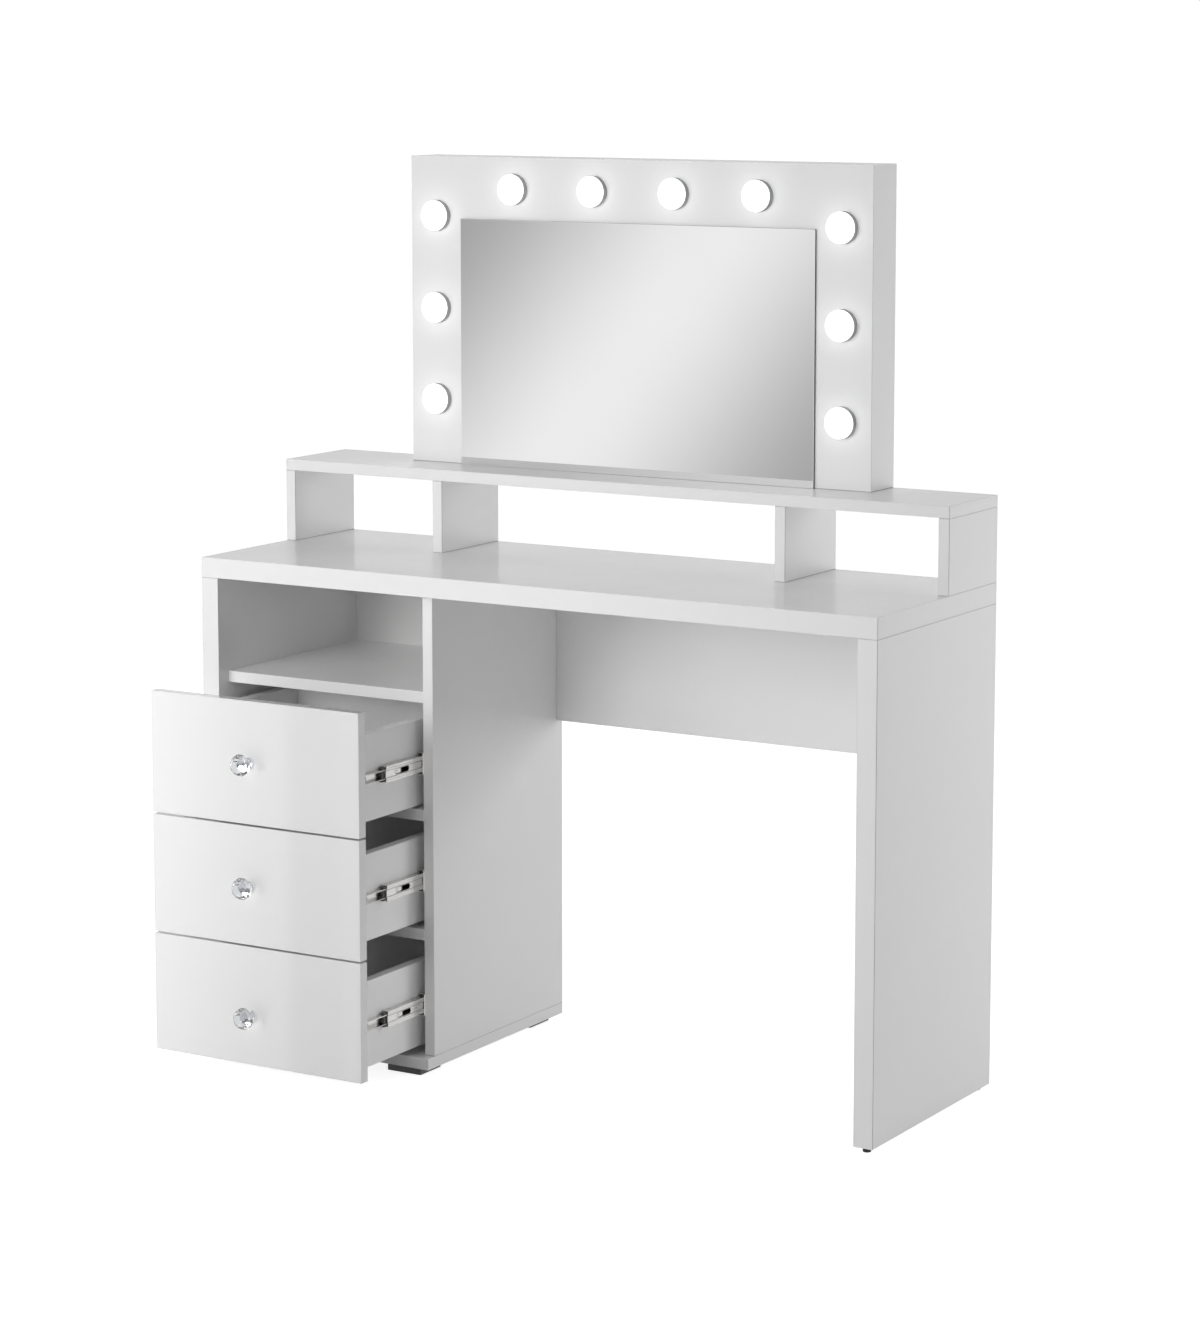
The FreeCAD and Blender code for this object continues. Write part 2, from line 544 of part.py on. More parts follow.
skirt_master = turned("lamp_skirt_master", (
    ("0", "0"),
    (NECK, "0"),
    (NECK, NECK_LENGTH),
    ("Sizes.lamp_diameter / 2", NECK_LENGTH),
    ("Sizes.lamp_diameter / 2", SKIRT_END),
    ("0", SKIRT_END),
))
CAP_EDGE = "(Sizes.lamp_diameter / 2 - Sizes.diffuser_rim)"
CAP_RADIUS = f"(({CAP_EDGE} ^ 2 + Sizes.diffuser_rise ^ 2) / (2 * Sizes.diffuser_rise))"
CAP_HEIGHT = f"({CAP_RADIUS} - Sizes.diffuser_rise)"
cap_master = doc.addObject("Part::Sphere", "lamp_cap_master")
cap_master.setExpression("Radius", CAP_RADIUS)
cap_master.setExpression("Angle1", f"asin({CAP_HEIGHT} / {CAP_RADIUS})")
skirts = []
caps = []
for number, (across, height) in enumerate(LAMPS, start=1):
    neck_end = f"{MIRROR_Y} + {NECK_LENGTH}"
    skirts.append(copy(f"lamp_skirt_{number}", skirt_master, TO_FRONT, (across, neck_end, height)))
    cap_centre = f"{MIRROR_Y} - Sizes.lamp_skirt_depth + {CAP_HEIGHT}"
    caps.append(copy(f"lamp_cap_{number}", cap_master, TO_FRONT, (across, cap_centre, height)))
    hole_diameter = "Sizes.lamp_neck_diameter + 2 * Sizes.lamp_neck_clearance"
    hole_start = (across, f"{MIRROR_Y} + 2 * Sizes.mirror_board", height)
    cut_from(
        rod(f"lamp_hole_{number}", hole_diameter, f"{CUT_PAST} * Sizes.mirror_board", hole_start, TO_FRONT),
        "mirror_front_panel")

# Flat cable across the lamps' necks, the driver inside the box and the power inlet in the back sheet.
WIRE_Y = f"({MIRROR_Y} + {NECK_LENGTH})"
WIRE_FOOT = f"({MIRROR_TOP} - Sizes.side_lamp_drop - Sizes.side_lamp_pitch * {SIDE_LAMPS - 1})"
WIRE_HALF = "Sizes.wire_width / 2"
wire_runs = [
    block(
        f"wire_run_{number}",
        ("Sizes.wire_width", "Sizes.wire_thickness", f"{LAMP_ROW} - {WIRE_FOOT} + Sizes.wire_width"),
        (f"{column} - {WIRE_HALF}", WIRE_Y, f"{WIRE_FOOT} - {WIRE_HALF}"))
    for number, column in enumerate((LAMP_LEFT, LAMP_RIGHT), start=1)
]
wire_runs.append(block(
    "wire_run_top",
    (f"{LAMP_RIGHT} - {LAMP_LEFT}", "Sizes.wire_thickness", "Sizes.wire_width"),
    (LAMP_LEFT, WIRE_Y, f"{LAMP_ROW} - {WIRE_HALF}")))
wiring = doc.addObject("Part::MultiFuse", "wiring")
wiring.Shapes = wire_runs
driver = block(
    "driver_blank",
    ("Sizes.driver_length", "Sizes.driver_depth", "Sizes.driver_height"),
    (f"{MIRROR_MIDDLE} - Sizes.driver_length / 2",
     f"{BACK_SHEET} - Sizes.driver_depth",
     f"{HUTCH_TOP} + Sizes.mirror_board"))
INLET = (f"({MIRROR_RIGHT} - Sizes.inlet_inset)", BACK, f"({HUTCH_TOP} + Sizes.inlet_rise)")
INLET_BARREL = "Sizes.inlet_diameter / 2"
INLET_SOCKET = "Sizes.inlet_bore_diameter / 2"
NUT_START = "Sizes.mirror_back"
NUT_END = "Sizes.mirror_back + Sizes.inlet_nut_thickness"
inlet_master = turned("power_inlet_master", (
    (INLET_SOCKET, "0"),
    (INLET_BARREL, "0"),
    (INLET_BARREL, NUT_START),
    ("Sizes.inlet_nut_diameter / 2", NUT_START),
    ("Sizes.inlet_nut_diameter / 2", NUT_END),
    (INLET_BARREL, NUT_END),
    (INLET_BARREL, "Sizes.inlet_length"),
    ("0", "Sizes.inlet_length"),
    ("0", "Sizes.inlet_bore_depth"),
    (INLET_SOCKET, "Sizes.inlet_bore_depth"),
))
inlet = copy("power_inlet_copy", inlet_master, TO_FRONT, INLET)
inlet_hole_start = (INLET[0], f"{BACK} + Sizes.mirror_back", INLET[2])
cut_from(
    rod("inlet_hole", "Sizes.inlet_diameter + 2 * Sizes.inlet_clearance", f"{CUT_PAST} * Sizes.mirror_back",
        inlet_hole_start, TO_FRONT),
    "mirror_back_panel")

# Screws from under the raised shelf into the mirror box's bottom board, their heads sunk in the shelf.
SCREW_END = "Sizes.hutch_board + Sizes.fixing_screw_grip"
screw_master = turned("fixing_screw_master", (
    ("0", "0"),
    ("Sizes.fixing_screw_head_diameter / 2", "0"),
    ("Sizes.fixing_screw_head_diameter / 2", "Sizes.fixing_screw_head_height"),
    ("Sizes.fixing_screw_diameter / 2", "Sizes.fixing_screw_head_height"),
    ("Sizes.fixing_screw_diameter / 2", SCREW_END),
    ("0", SCREW_END),
))
SCREW_FIRST = f"({SUPPORTS['hutch_left_support']} + Sizes.hutch_board + Sizes.fixing_screw_inset)"
SCREW_LAST = f"({SUPPORTS['hutch_right_support']} - Sizes.fixing_screw_inset)"
SCREW_DEPTH = f"({MIRROR_Y} + (Sizes.mirror_depth + Sizes.mirror_board) / 2)"
fixing_screws = []
for number in range(FIXING_SCREWS):
    across = f"({SCREW_FIRST} + ({SCREW_LAST} - {SCREW_FIRST}) * {number} / {FIXING_SCREWS - 1})"
    head = (across, SCREW_DEPTH, HUTCH_UNDER)
    fixing_screws.append(copy(f"fixing_screw_{number + 1}", screw_master, ALONG_Z, head))
    below = (across, SCREW_DEPTH, f"{HUTCH_UNDER} - Sizes.hutch_board")
    bore_length = f"Sizes.hutch_board + {SCREW_END} + Sizes.dowel_end_play"
    bore_diameter = "Sizes.fixing_screw_diameter + 2 * Sizes.fixing_screw_play"
    cut_from(
        rod(f"fixing_bore_{number + 1}", bore_diameter, bore_length, below, ALONG_Z),
        "hutch_shelf", "mirror_box_bottom")
    sink_length = "Sizes.hutch_board + Sizes.fixing_screw_head_height"
    sink_diameter = "Sizes.fixing_screw_head_diameter + 2 * Sizes.fixing_screw_play"
    cut_from(rod(f"fixing_sink_{number + 1}", sink_diameter, sink_length, below, ALONG_Z), "hutch_shelf")

# Feet under the pedestal and glides under the right panel.
foot_master = eased(
    "foot_master",
    block("foot_blank", ("Sizes.foot_length", "Sizes.foot_width", "Sizes.foot_height"), ("0", "0", "0")),
    sizes.foot_edge_radius)
FOOT_COLUMNS = (
    f"{LEFT} + Sizes.foot_side_inset",
    f"{PEDESTAL_RIGHT} - Sizes.foot_side_inset - Sizes.foot_length",
)
FOOT_ROWS = (
    f"{FRONT} + Sizes.foot_end_inset",
    f"{BACK} - Sizes.foot_end_inset - Sizes.foot_width",
)
feet = [
    copy(f"foot_{column}_{row}", foot_master, ALONG_Z, (across, depth, "0"))
    for column, across in enumerate(FOOT_COLUMNS, start=1)
    for row, depth in enumerate(FOOT_ROWS, start=1)
]
GLIDE_X = f"{RIGHT} - Sizes.side_thickness / 2"
GLIDE_ROWS = (f"{FRONT} + Sizes.glide_inset", f"{BACK} - Sizes.glide_inset")
glides = [
    rod(f"glide_{row}", "Sizes.glide_diameter", "Sizes.glide_height", (GLIDE_X, depth, "0"), ALONG_Z)
    for row, depth in enumerate(GLIDE_ROWS, start=1)
]


# Rail members: cabinet member on the pedestal, middle member inside it, drawer member on the drawer.
RAIL_STEP = "(Sizes.rail_wall + Sizes.rail_play)"
RAIL_LENGTH = f"({DRAWER_LENGTH} - Sizes.rail_end_gap)"
CABINET_HEIGHT = "Sizes.cabinet_rail_height"
MIDDLE_HEIGHT = f"({CABINET_HEIGHT} - 2 * (Sizes.rail_wall + Sizes.outer_ball_gap))"
RAIL_HEIGHTS = {
    "cabinet": CABINET_HEIGHT,
    "middle": MIDDLE_HEIGHT,
    "drawer": f"({MIDDLE_HEIGHT} - 2 * (Sizes.rail_wall + Sizes.inner_ball_gap))",
}


def rail(name, depth, height, slotted):
    """A rolled channel along +Y with its web at X = 0 and its flanges towards +X."""
    wall = "Sizes.rail_wall"
    body = doc.addObject("PartDesign::Body", name)
    profile = outline(body, f"{name}_profile", "XZ_Plane", (
        ("0", "0"),
        (depth, "0"),
        (depth, wall),
        (wall, wall),
        (wall, f"{height} - {wall}"),
        (depth, f"{height} - {wall}"),
        (depth, height),
        ("0", height),
    ))
    pad = body.newObject("PartDesign::Pad", f"{name}_pad")
    pad.Profile = profile
    pad.Reversed = True
    pad.setExpression("Length", RAIL_LENGTH)
    doc.recompute()
    if not slotted:
        return body
    solid_volume = body.Shape.Volume
    low = f"({height} - Sizes.slot_height) / 2"
    high = f"({height} + Sizes.slot_height) / 2"
    slot_end = "Sizes.slot_inset + Sizes.slot_length"
    slot = outline(body, f"{name}_slot", "YZ_Plane", (
        ("Sizes.slot_inset", low), (slot_end, low), (slot_end, high), ("Sizes.slot_inset", high)))
    pocket = body.newObject("PartDesign::Pocket", f"{name}_pocket")
    pocket.Profile = slot
    pocket.Type = "ThroughAll"
    pocket.Reversed = True
    doc.recompute()
    if body.Shape.Volume >= solid_volume:
        raise RuntimeError(f"the slot of {name} cuts nothing")
    return body


rail_masters = {
    "cabinet": rail("cabinet_rail_master", "Sizes.rail_gap - Sizes.rail_side_clearance",
                    RAIL_HEIGHTS["cabinet"], False),
    "middle": rail("middle_rail_master", f"Sizes.rail_gap - Sizes.rail_side_clearance - {RAIL_STEP}",
                   RAIL_HEIGHTS["middle"], True),
    "drawer": rail("drawer_rail_master", f"Sizes.rail_gap - 2 * {RAIL_STEP}",
                   RAIL_HEIGHTS["drawer"], False),
}
CABINET_RAIL_Y = f"({PARTITION_FRONT} + Sizes.rail_end_gap)"


def rail_pair(kind, drawer, faces, depth, middle):
    """A left and a right rail member, each with its web on its face and its flanges to one side."""
    height = RAIL_HEIGHTS[kind]
    pair = []
    for hand, (face, opens_right) in zip(("left", "right"), faces):
        turn = ALONG_Z if opens_right else RIGHT_HANDED
        level = f"{middle} - {height} / 2" if opens_right else f"{middle} + {height} / 2"
        name = f"{drawer}_{kind}_rail_{hand}"
        pair.append(copy(name, rail_masters[kind], turn, (face, depth, level)))
    return pair


cabinet_rails = []
for drawer, front_bottom, front_top, box_bottom, knob_drop in DRAWERS:
    rail_middle = f"({box_bottom} + {SIDE_HEIGHT} / 2)"
    cabinet_rails += rail_pair(
        "cabinet", drawer, ((BAY_LEFT, True), (PARTITION, False)), CABINET_RAIL_Y, rail_middle)

# Nodes that stand still.
for name, blank in carcass.items():
    finish(name, blank)
for name, blank in mirror_boards.items():
    finish(name, blank)
node("mirror_glass", eased("mirror_glass_eased", glass, sizes.glass_edge_radius))
node("lamp_skirts", group("skirt_group", skirts))
node("lamp_diffusers", group("cap_group", caps))
node("lamp_wiring", wiring)
node("led_driver", eased("driver_eased", driver, sizes.driver_edge_radius))
node("power_inlet", group("inlet_group", [inlet]))
node("mirror_fixing_screws", group("fixing_screw_group", fixing_screws))
node("pedestal_feet", group("foot_group", feet))
node("panel_glides", group("glide_group", glides))
node("assembly_dowels", group("dowel_group", dowels))
node("cabinet_rails", group("cabinet_rail_group", cabinet_rails))

# Knob masters: metal base with a blind bore, its screw, and a crystal of ruled facets.
SCREW_RADIUS = "Sizes.knob_screw_diameter / 2"
KNOB_BORE = f"{SCREW_RADIUS} + Sizes.knob_screw_play"
KNOB_BORE_END = "Sizes.knob_screw_grip + Sizes.knob_bore_tail"
knob_base_master = turned("knob_base_master", (
    (KNOB_BORE, "0"),
    ("Sizes.knob_base_diameter / 2", "0"),
    ("Sizes.knob_base_diameter / 2", "Sizes.knob_flange_height"),
    ("Sizes.knob_stem_diameter / 2", "Sizes.knob_flange_height"),
    ("Sizes.knob_stem_diameter / 2", "Sizes.knob_base_length"),
    ("0", "Sizes.knob_base_length"),
    ("0", KNOB_BORE_END),
    (KNOB_BORE, KNOB_BORE_END),
))
KNOB_SCREW_END = "Sizes.knob_screw_head_height + Sizes.front_thickness + Sizes.knob_screw_grip"
knob_screw_master = turned("knob_screw_master", (
    ("0", "0"),
    ("Sizes.knob_screw_head_diameter / 2", "0"),
    ("Sizes.knob_screw_head_diameter / 2", "Sizes.knob_screw_head_height"),
    (SCREW_RADIUS, "Sizes.knob_screw_head_height"),
    (SCREW_RADIUS, KNOB_SCREW_END),
    ("0", KNOB_SCREW_END),
))
CRYSTAL_RINGS = (
    ("Sizes.crystal_back_diameter", "0"),
    ("Sizes.crystal_diameter", "Sizes.crystal_back_length"),
    ("Sizes.crystal_diameter", "Sizes.crystal_back_length + Sizes.crystal_girdle_width"),
    ("Sizes.crystal_table_diameter", "Sizes.crystal_length"),
)
crystal_rings = []
for number, (diameter, height) in enumerate(CRYSTAL_RINGS, start=1):
    ring = doc.addObject("Part::RegularPolygon", f"crystal_ring_{number}")
    ring.Polygon = CRYSTAL_SIDES
    ring.setExpression("Circumradius", f"{diameter} / 2")
    crystal_rings.append(place(ring, ("0", "0", height)))
crystal_master = doc.addObject("Part::Loft", "crystal_master")
crystal_master.Sections = crystal_rings
crystal_master.Solid = True
crystal_master.Ruled = True


def make_drawer(drawer, front_bottom, front_top, box_bottom, knob_drop):
    """One drawer: front, box, knob and rail members, as it stands open."""
    front_name = f"{drawer}_drawer_front"
    front = board(
        front_name,
        ("Sizes.pedestal_width - Sizes.side_thickness - 2 * Sizes.front_side_gap",
         "Sizes.front_thickness",
         f"{front_top} - {front_bottom}"),
        (f"{BAY_LEFT} + Sizes.front_side_gap", DRAWER_FRONT, front_bottom))
    knob_level = f"(({front_bottom} + {front_top}) / 2 - {knob_drop})"
    bore_diameter = "Sizes.knob_screw_diameter + 2 * Sizes.knob_bore_play"
    bore_start = (KNOB_X, f"{DRAWER_BACK_OF_FRONT} + Sizes.front_thickness", knob_level)
    bore_length = f"{CUT_PAST} * Sizes.front_thickness"
    cut_from(rod(f"{drawer}_knob_bore", bore_diameter, bore_length, bore_start, TO_FRONT), front_name)
    finish(front_name, front)

    groove_low = f"({box_bottom} + Sizes.groove_height)"
    sheet_gap = "Sizes.groove_play"
    groove = block(
        f"{drawer}_groove",
        (f"{BOX_WIDTH} - 2 * Sizes.drawer_board + 2 * Sizes.groove_depth",
         f"{CUT_PAST} * {DRAWER_LENGTH}",
         f"Sizes.drawer_bottom + 2 * {sheet_gap}"),
        (f"{BOX_LEFT} + Sizes.drawer_board - Sizes.groove_depth",
         f"{DRAWER_BACK_OF_FRONT} - {DRAWER_LENGTH}",
         groove_low))
    sides = (
        (f"{drawer}_drawer_left_side", BOX_LEFT),
        (f"{drawer}_drawer_right_side", f"{BOX_RIGHT} - Sizes.drawer_board"),
    )
    for side_name, left_face in sides:
        side = board(
            side_name,
            ("Sizes.drawer_board", DRAWER_LENGTH, SIDE_HEIGHT),
            (left_face, DRAWER_BACK_OF_FRONT, box_bottom))
        cut_from(groove, side_name)
        finish(side_name, side)

    sheet_top = f"({groove_low} + {sheet_gap} + Sizes.drawer_bottom)"
    finish(f"{drawer}_drawer_bottom", block(
        f"{drawer}_drawer_bottom_sheet",
        (f"{BOX_WIDTH} - 2 * Sizes.drawer_board + 2 * Sizes.groove_depth - 2 * {sheet_gap}",
         DRAWER_LENGTH,
         "Sizes.drawer_bottom"),
        (f"{BOX_LEFT} + Sizes.drawer_board - Sizes.groove_depth + {sheet_gap}",
         DRAWER_BACK_OF_FRONT,
         f"{groove_low} + {sheet_gap}")))
    rear_name = f"{drawer}_drawer_rear"
    finish(rear_name, board(
        rear_name,
        (f"{BOX_WIDTH} - 2 * Sizes.drawer_board",
         "Sizes.drawer_board",
         f"{box_bottom} + {SIDE_HEIGHT} - {sheet_top}"),
        (f"{BOX_LEFT} + Sizes.drawer_board", f"{DRAWER_REAR} - Sizes.drawer_board", sheet_top)))

    base = copy(f"{drawer}_knob_base_copy", knob_base_master, TO_FRONT, (KNOB_X, DRAWER_FRONT, knob_level))
    screw_start = (KNOB_X, f"{DRAWER_BACK_OF_FRONT} + Sizes.knob_screw_head_height", knob_level)
    screw = copy(f"{drawer}_knob_screw_copy", knob_screw_master, TO_FRONT, screw_start)
    node(f"{drawer}_knob_base", group(f"{drawer}_knob_base_group", [base, screw]))
    crystal_start = (KNOB_X, f"{DRAWER_FRONT} - Sizes.knob_base_length", knob_level)
    crystal = copy(f"{drawer}_knob_crystal_copy", crystal_master, TO_FRONT, crystal_start)
    node(f"{drawer}_knob_crystal", group(f"{drawer}_knob_crystal_group", [crystal]))

    rail_middle = f"({box_bottom} + {SIDE_HEIGHT} / 2)"
    drawer_rails = rail_pair(
        "drawer", drawer, ((BOX_LEFT, False), (BOX_RIGHT, True)),
        f"{DRAWER_BACK_OF_FRONT} + Sizes.rail_end_gap", rail_middle)
    node(f"{drawer}_drawer_rails", group(f"{drawer}_drawer_rail_group", drawer_rails))
    middle_rails = rail_pair(
        "middle", drawer,
        ((f"{BAY_LEFT} + {RAIL_STEP}", True), (f"{PARTITION} - {RAIL_STEP}", False)),
        f"{CABINET_RAIL_Y} - Sizes.drawer_open * Sizes.middle_rail_share", rail_middle)
    node(f"{drawer}_middle_rails", group(f"{drawer}_middle_rail_group", middle_rails))


for drawer_sizes in DRAWERS:
    make_drawer(*drawer_sizes)

doc.recompute()

failed = [item.Name for item in doc.Objects if "Invalid" in item.State or "Error" in item.State]
if failed:
    raise RuntimeError(f"failed objects: {failed}")
for piece in nodes:
    if piece.Shape.isNull() or not piece.Shape.isValid():
        raise RuntimeError(f"bad shape: {piece.Label}")

os.makedirs("parts", exist_ok=True)
for piece in nodes:
    piece.Shape.exportStep(f"parts/{piece.Label}.step")
print(f"{len(nodes)} sub-parts written")
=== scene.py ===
"""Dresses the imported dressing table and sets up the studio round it."""
from __future__ import annotations

import json
import logging
import math
from dataclasses import dataclass
from enum import Enum
from typing import Any, Iterable, Sequence

import bmesh
import bpy
from bmesh.types import BMesh, BMEdge, BMVert
from mathutils import Matrix, Vector

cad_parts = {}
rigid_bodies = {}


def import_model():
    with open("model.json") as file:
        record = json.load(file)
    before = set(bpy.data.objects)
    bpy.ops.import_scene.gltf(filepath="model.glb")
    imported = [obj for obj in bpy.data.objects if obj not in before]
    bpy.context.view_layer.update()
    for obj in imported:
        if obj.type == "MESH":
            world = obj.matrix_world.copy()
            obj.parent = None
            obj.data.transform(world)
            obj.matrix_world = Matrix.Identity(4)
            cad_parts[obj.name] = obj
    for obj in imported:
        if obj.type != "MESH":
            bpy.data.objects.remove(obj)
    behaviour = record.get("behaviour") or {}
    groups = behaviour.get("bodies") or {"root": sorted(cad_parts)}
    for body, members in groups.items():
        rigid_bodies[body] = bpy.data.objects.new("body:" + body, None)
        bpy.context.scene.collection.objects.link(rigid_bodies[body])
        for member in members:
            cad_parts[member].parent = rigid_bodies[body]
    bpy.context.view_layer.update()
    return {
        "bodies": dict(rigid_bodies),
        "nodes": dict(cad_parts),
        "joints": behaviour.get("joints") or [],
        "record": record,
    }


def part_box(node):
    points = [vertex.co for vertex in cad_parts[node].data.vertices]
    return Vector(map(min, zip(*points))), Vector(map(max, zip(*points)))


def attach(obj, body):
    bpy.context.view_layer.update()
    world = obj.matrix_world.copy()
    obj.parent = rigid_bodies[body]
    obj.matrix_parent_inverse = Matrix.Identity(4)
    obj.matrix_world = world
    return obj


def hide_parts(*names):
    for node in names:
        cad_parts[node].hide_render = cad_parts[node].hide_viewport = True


LOG = logging.getLogger("dressing_table")
IMAGE_WIDTH = 1200
IMAGE_HEIGHT = 1322
BLACK = (0.0, 0.0, 0.0, 1.0)
WHITE = (1.0, 1.0, 1.0, 1.0)
PATTERN_LOW = 0.3
PATTERN_HIGH = 0.7
MIX_SHARE, MIX_FIRST, MIX_SECOND, MIX_RESULT = 0, 6, 7, 2
WELD = 1e-6
TOUCH = 1e-5
BEND_SEGMENTS = 3
SLOT_STEPS = 24

Colour = tuple[float, float, float, float]
Point = tuple[float, float, float]
Profile = Sequence[tuple[float, float]]
Material = bpy.types.Material
Socket = bpy.types.NodeSocket


class Drawer(Enum):
    """The three drawers, from the top down."""

    UPPER = "upper"
    MIDDLE = "middle"
    LOWER = "lower"

    @property
    def body(self) -> str:
        """The moving body of the drawer's box."""
        return f"{self.value}_drawer"

    @property
    def rail_body(self) -> str:
        """The moving body of the drawer's middle rails."""
        return f"{self.value}_rail_members"

    def node(self, piece: str) -> str:
        """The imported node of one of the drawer's pieces."""
        return f"{self.value}_{piece}"


class Hand(Enum):
    """The side of a drawer that a rail is on; the value is the way from its board to the drawer."""

    LEFT = 1.0
    RIGHT = -1.0


class Axis(Enum):
    """The axis that a turned piece is spun about."""

    FORWARD = "forward"
    UP = "up"

    @property
    def direction(self) -> Point:
        """The axis as a direction."""
        return (0.0, -1.0, 0.0) if self is Axis.FORWARD else (0.0, 0.0, 1.0)

    def point(self, radius: float, height: float) -> Point:
        """A point of a profile, at a radius from the axis and a height along it."""
        return (radius, -height, 0.0) if self is Axis.FORWARD else (radius, 0.0, height)


class Skin(Enum):
    """The shared surface effects, by the name of their node group."""

    LACQUER = "lacquer_skin"
    ROLLED = "rolled_skin"
    MOULDED = "moulded_skin"
    POLISHED = "polished_skin"


class NodeBench:
    """A shader node tree with short calls that place and wire nodes."""

    def __init__(self, tree: bpy.types.NodeTree) -> None:
        """Keeps the tree to work on."""
        self.tree = tree

    def put(self, kind: str, inputs: dict[str | int, Any] | None = None, **settings: Any) -> bpy.types.Node:
        """Places one node.

        Args:
            kind: The node's type name without its ShaderNode prefix.
            inputs: Values or sockets for its inputs, by name or number.
            settings: Properties of the node itself.

        Returns:
            The new node.
        """
        node = self.tree.nodes.new(f"ShaderNode{kind}")
        for name, value in settings.items():
            setattr(node, name, value)
        self.fill(node, inputs or {})
        return node

    def fill(self, node: bpy.types.Node, inputs: dict[str | int, Any]) -> None:
        """Sets or links a node's inputs.

        Args:
            node: The node.
            inputs: Values or sockets for its inputs, by name or number.
        """
        for name, value in inputs.items():
            if isinstance(value, Socket):
                self.tree.links.new(value, node.inputs[name])
            else:
                node.inputs[name].default_value = value

    def surface(self, shader: bpy.types.Node) -> None:
        """Shows a shader node in place of a new material's own."""
        self.tree.nodes.remove(self.tree.nodes["Principled BSDF"])
        self.fill(self.tree.nodes["Material Output"], {"Surface": shader.outputs[0]})

    def calc(self, operation: str, *values: Socket | float) -> Socket:
        """The result of a math node on sockets or numbers."""
        return self.put("Math", dict(enumerate(values)), operation=operation).outputs[0]

    def split(self, vector: Socket) -> bpy.types.NodeOutputs:
        """The parts of a vector, by axis."""
        return self.put("SeparateXYZ", {0: vector}).outputs

    def along(self, vector: Socket, direction: Point) -> Socket:
        """How far a vector goes along a direction."""
        return self.put("VectorMath", {0: vector, 1: direction}, operation="DOT_PRODUCT").outputs["Value"]

    def mix(self, share: Socket, first: Socket, second: Colour) -> Socket:
        """A colour with a share of a plain second colour in it."""
        inputs = {MIX_SHARE: share, MIX_FIRST: first, MIX_SECOND: second}
        return self.put("Mix", inputs, data_type="RGBA").outputs[MIX_RESULT]

    def noise(self, place: Socket, scale: float, detail: float) -> Socket:
        """A noise pattern at a place, by its scale and octaves."""
        return self.put("TexNoise", {"Vector": place, "Scale": scale, "Detail": detail}).outputs["Fac"]

    def ranged(self, pattern: Socket, low: Socket | float, high: Socket) -> Socket:
        """A pattern stretched from its usual lows and highs to others."""
        inputs = {"Value": pattern, "From Min": PATTERN_LOW, "From Max": PATTERN_HIGH}
        return self.put("MapRange", inputs | {"To Min": low, "To Max": high}).outputs["Result"]


@dataclass(frozen=True)
class SkinPattern:
    """The scales of one shared surface effect."""

    skin: Skin
    stretch: Point
    cloud_scale: float
    polish_scale: float
    relief_scale: float
    cloud_detail: float = 3.0
    fine_detail: float = 2.0

    SOCKETS = {
        "INPUT": {
            "Place": "Vector", "Colour": "Color", "Shade": "Float", "Roughness": "Float", "Spread": "Float"},
        "OUTPUT": {"Colour": "Color", "Roughness": "Float", "Relief": "Float"},
    }

    def build(self) -> None:
        """Makes the effect's node group."""
        tree = bpy.data.node_groups.new(self.skin.value, "ShaderNodeTree")
        for way, sockets in self.SOCKETS.items():
            for name, kind in sockets.items():
                tree.interface.new_socket(name, in_out=way, socket_type=f"NodeSocket{kind}")
        bench = NodeBench(tree)
        given = tree.nodes.new("NodeGroupInput").outputs
        place = bench.put("Mapping", {"Vector": given["Place"], "Scale": self.stretch}).outputs["Vector"]
        cloud = bench.noise(place, self.cloud_scale, self.cloud_detail)
        polish = bench.noise(place, self.polish_scale, self.fine_detail)
        least = bench.calc("SUBTRACT", given["Roughness"], given["Spread"])
        most = bench.calc("ADD", given["Roughness"], given["Spread"])
        bench.fill(tree.nodes.new("NodeGroupOutput"), {
            "Colour": bench.mix(bench.ranged(cloud, 0.0, given["Shade"]), given["Colour"], BLACK),
            "Roughness": bench.ranged(polish, least, most),
            "Relief": bench.noise(place, self.relief_scale, self.fine_detail),
        })


SKIN_PATTERNS: tuple[SkinPattern, ...] = (
    SkinPattern(Skin.LACQUER, (1.0, 1.0, 1.0), 2.6, 7.0, 210.0),
    SkinPattern(Skin.ROLLED, (1.0, 0.02, 1.0), 900.0, 1400.0, 2100.0),
    SkinPattern(Skin.MOULDED, (1.0, 1.0, 1.0), 60.0, 140.0, 1500.0),
    SkinPattern(Skin.POLISHED, (1.0, 1.0, 1.0), 9.0, 16.0, 40.0),
)


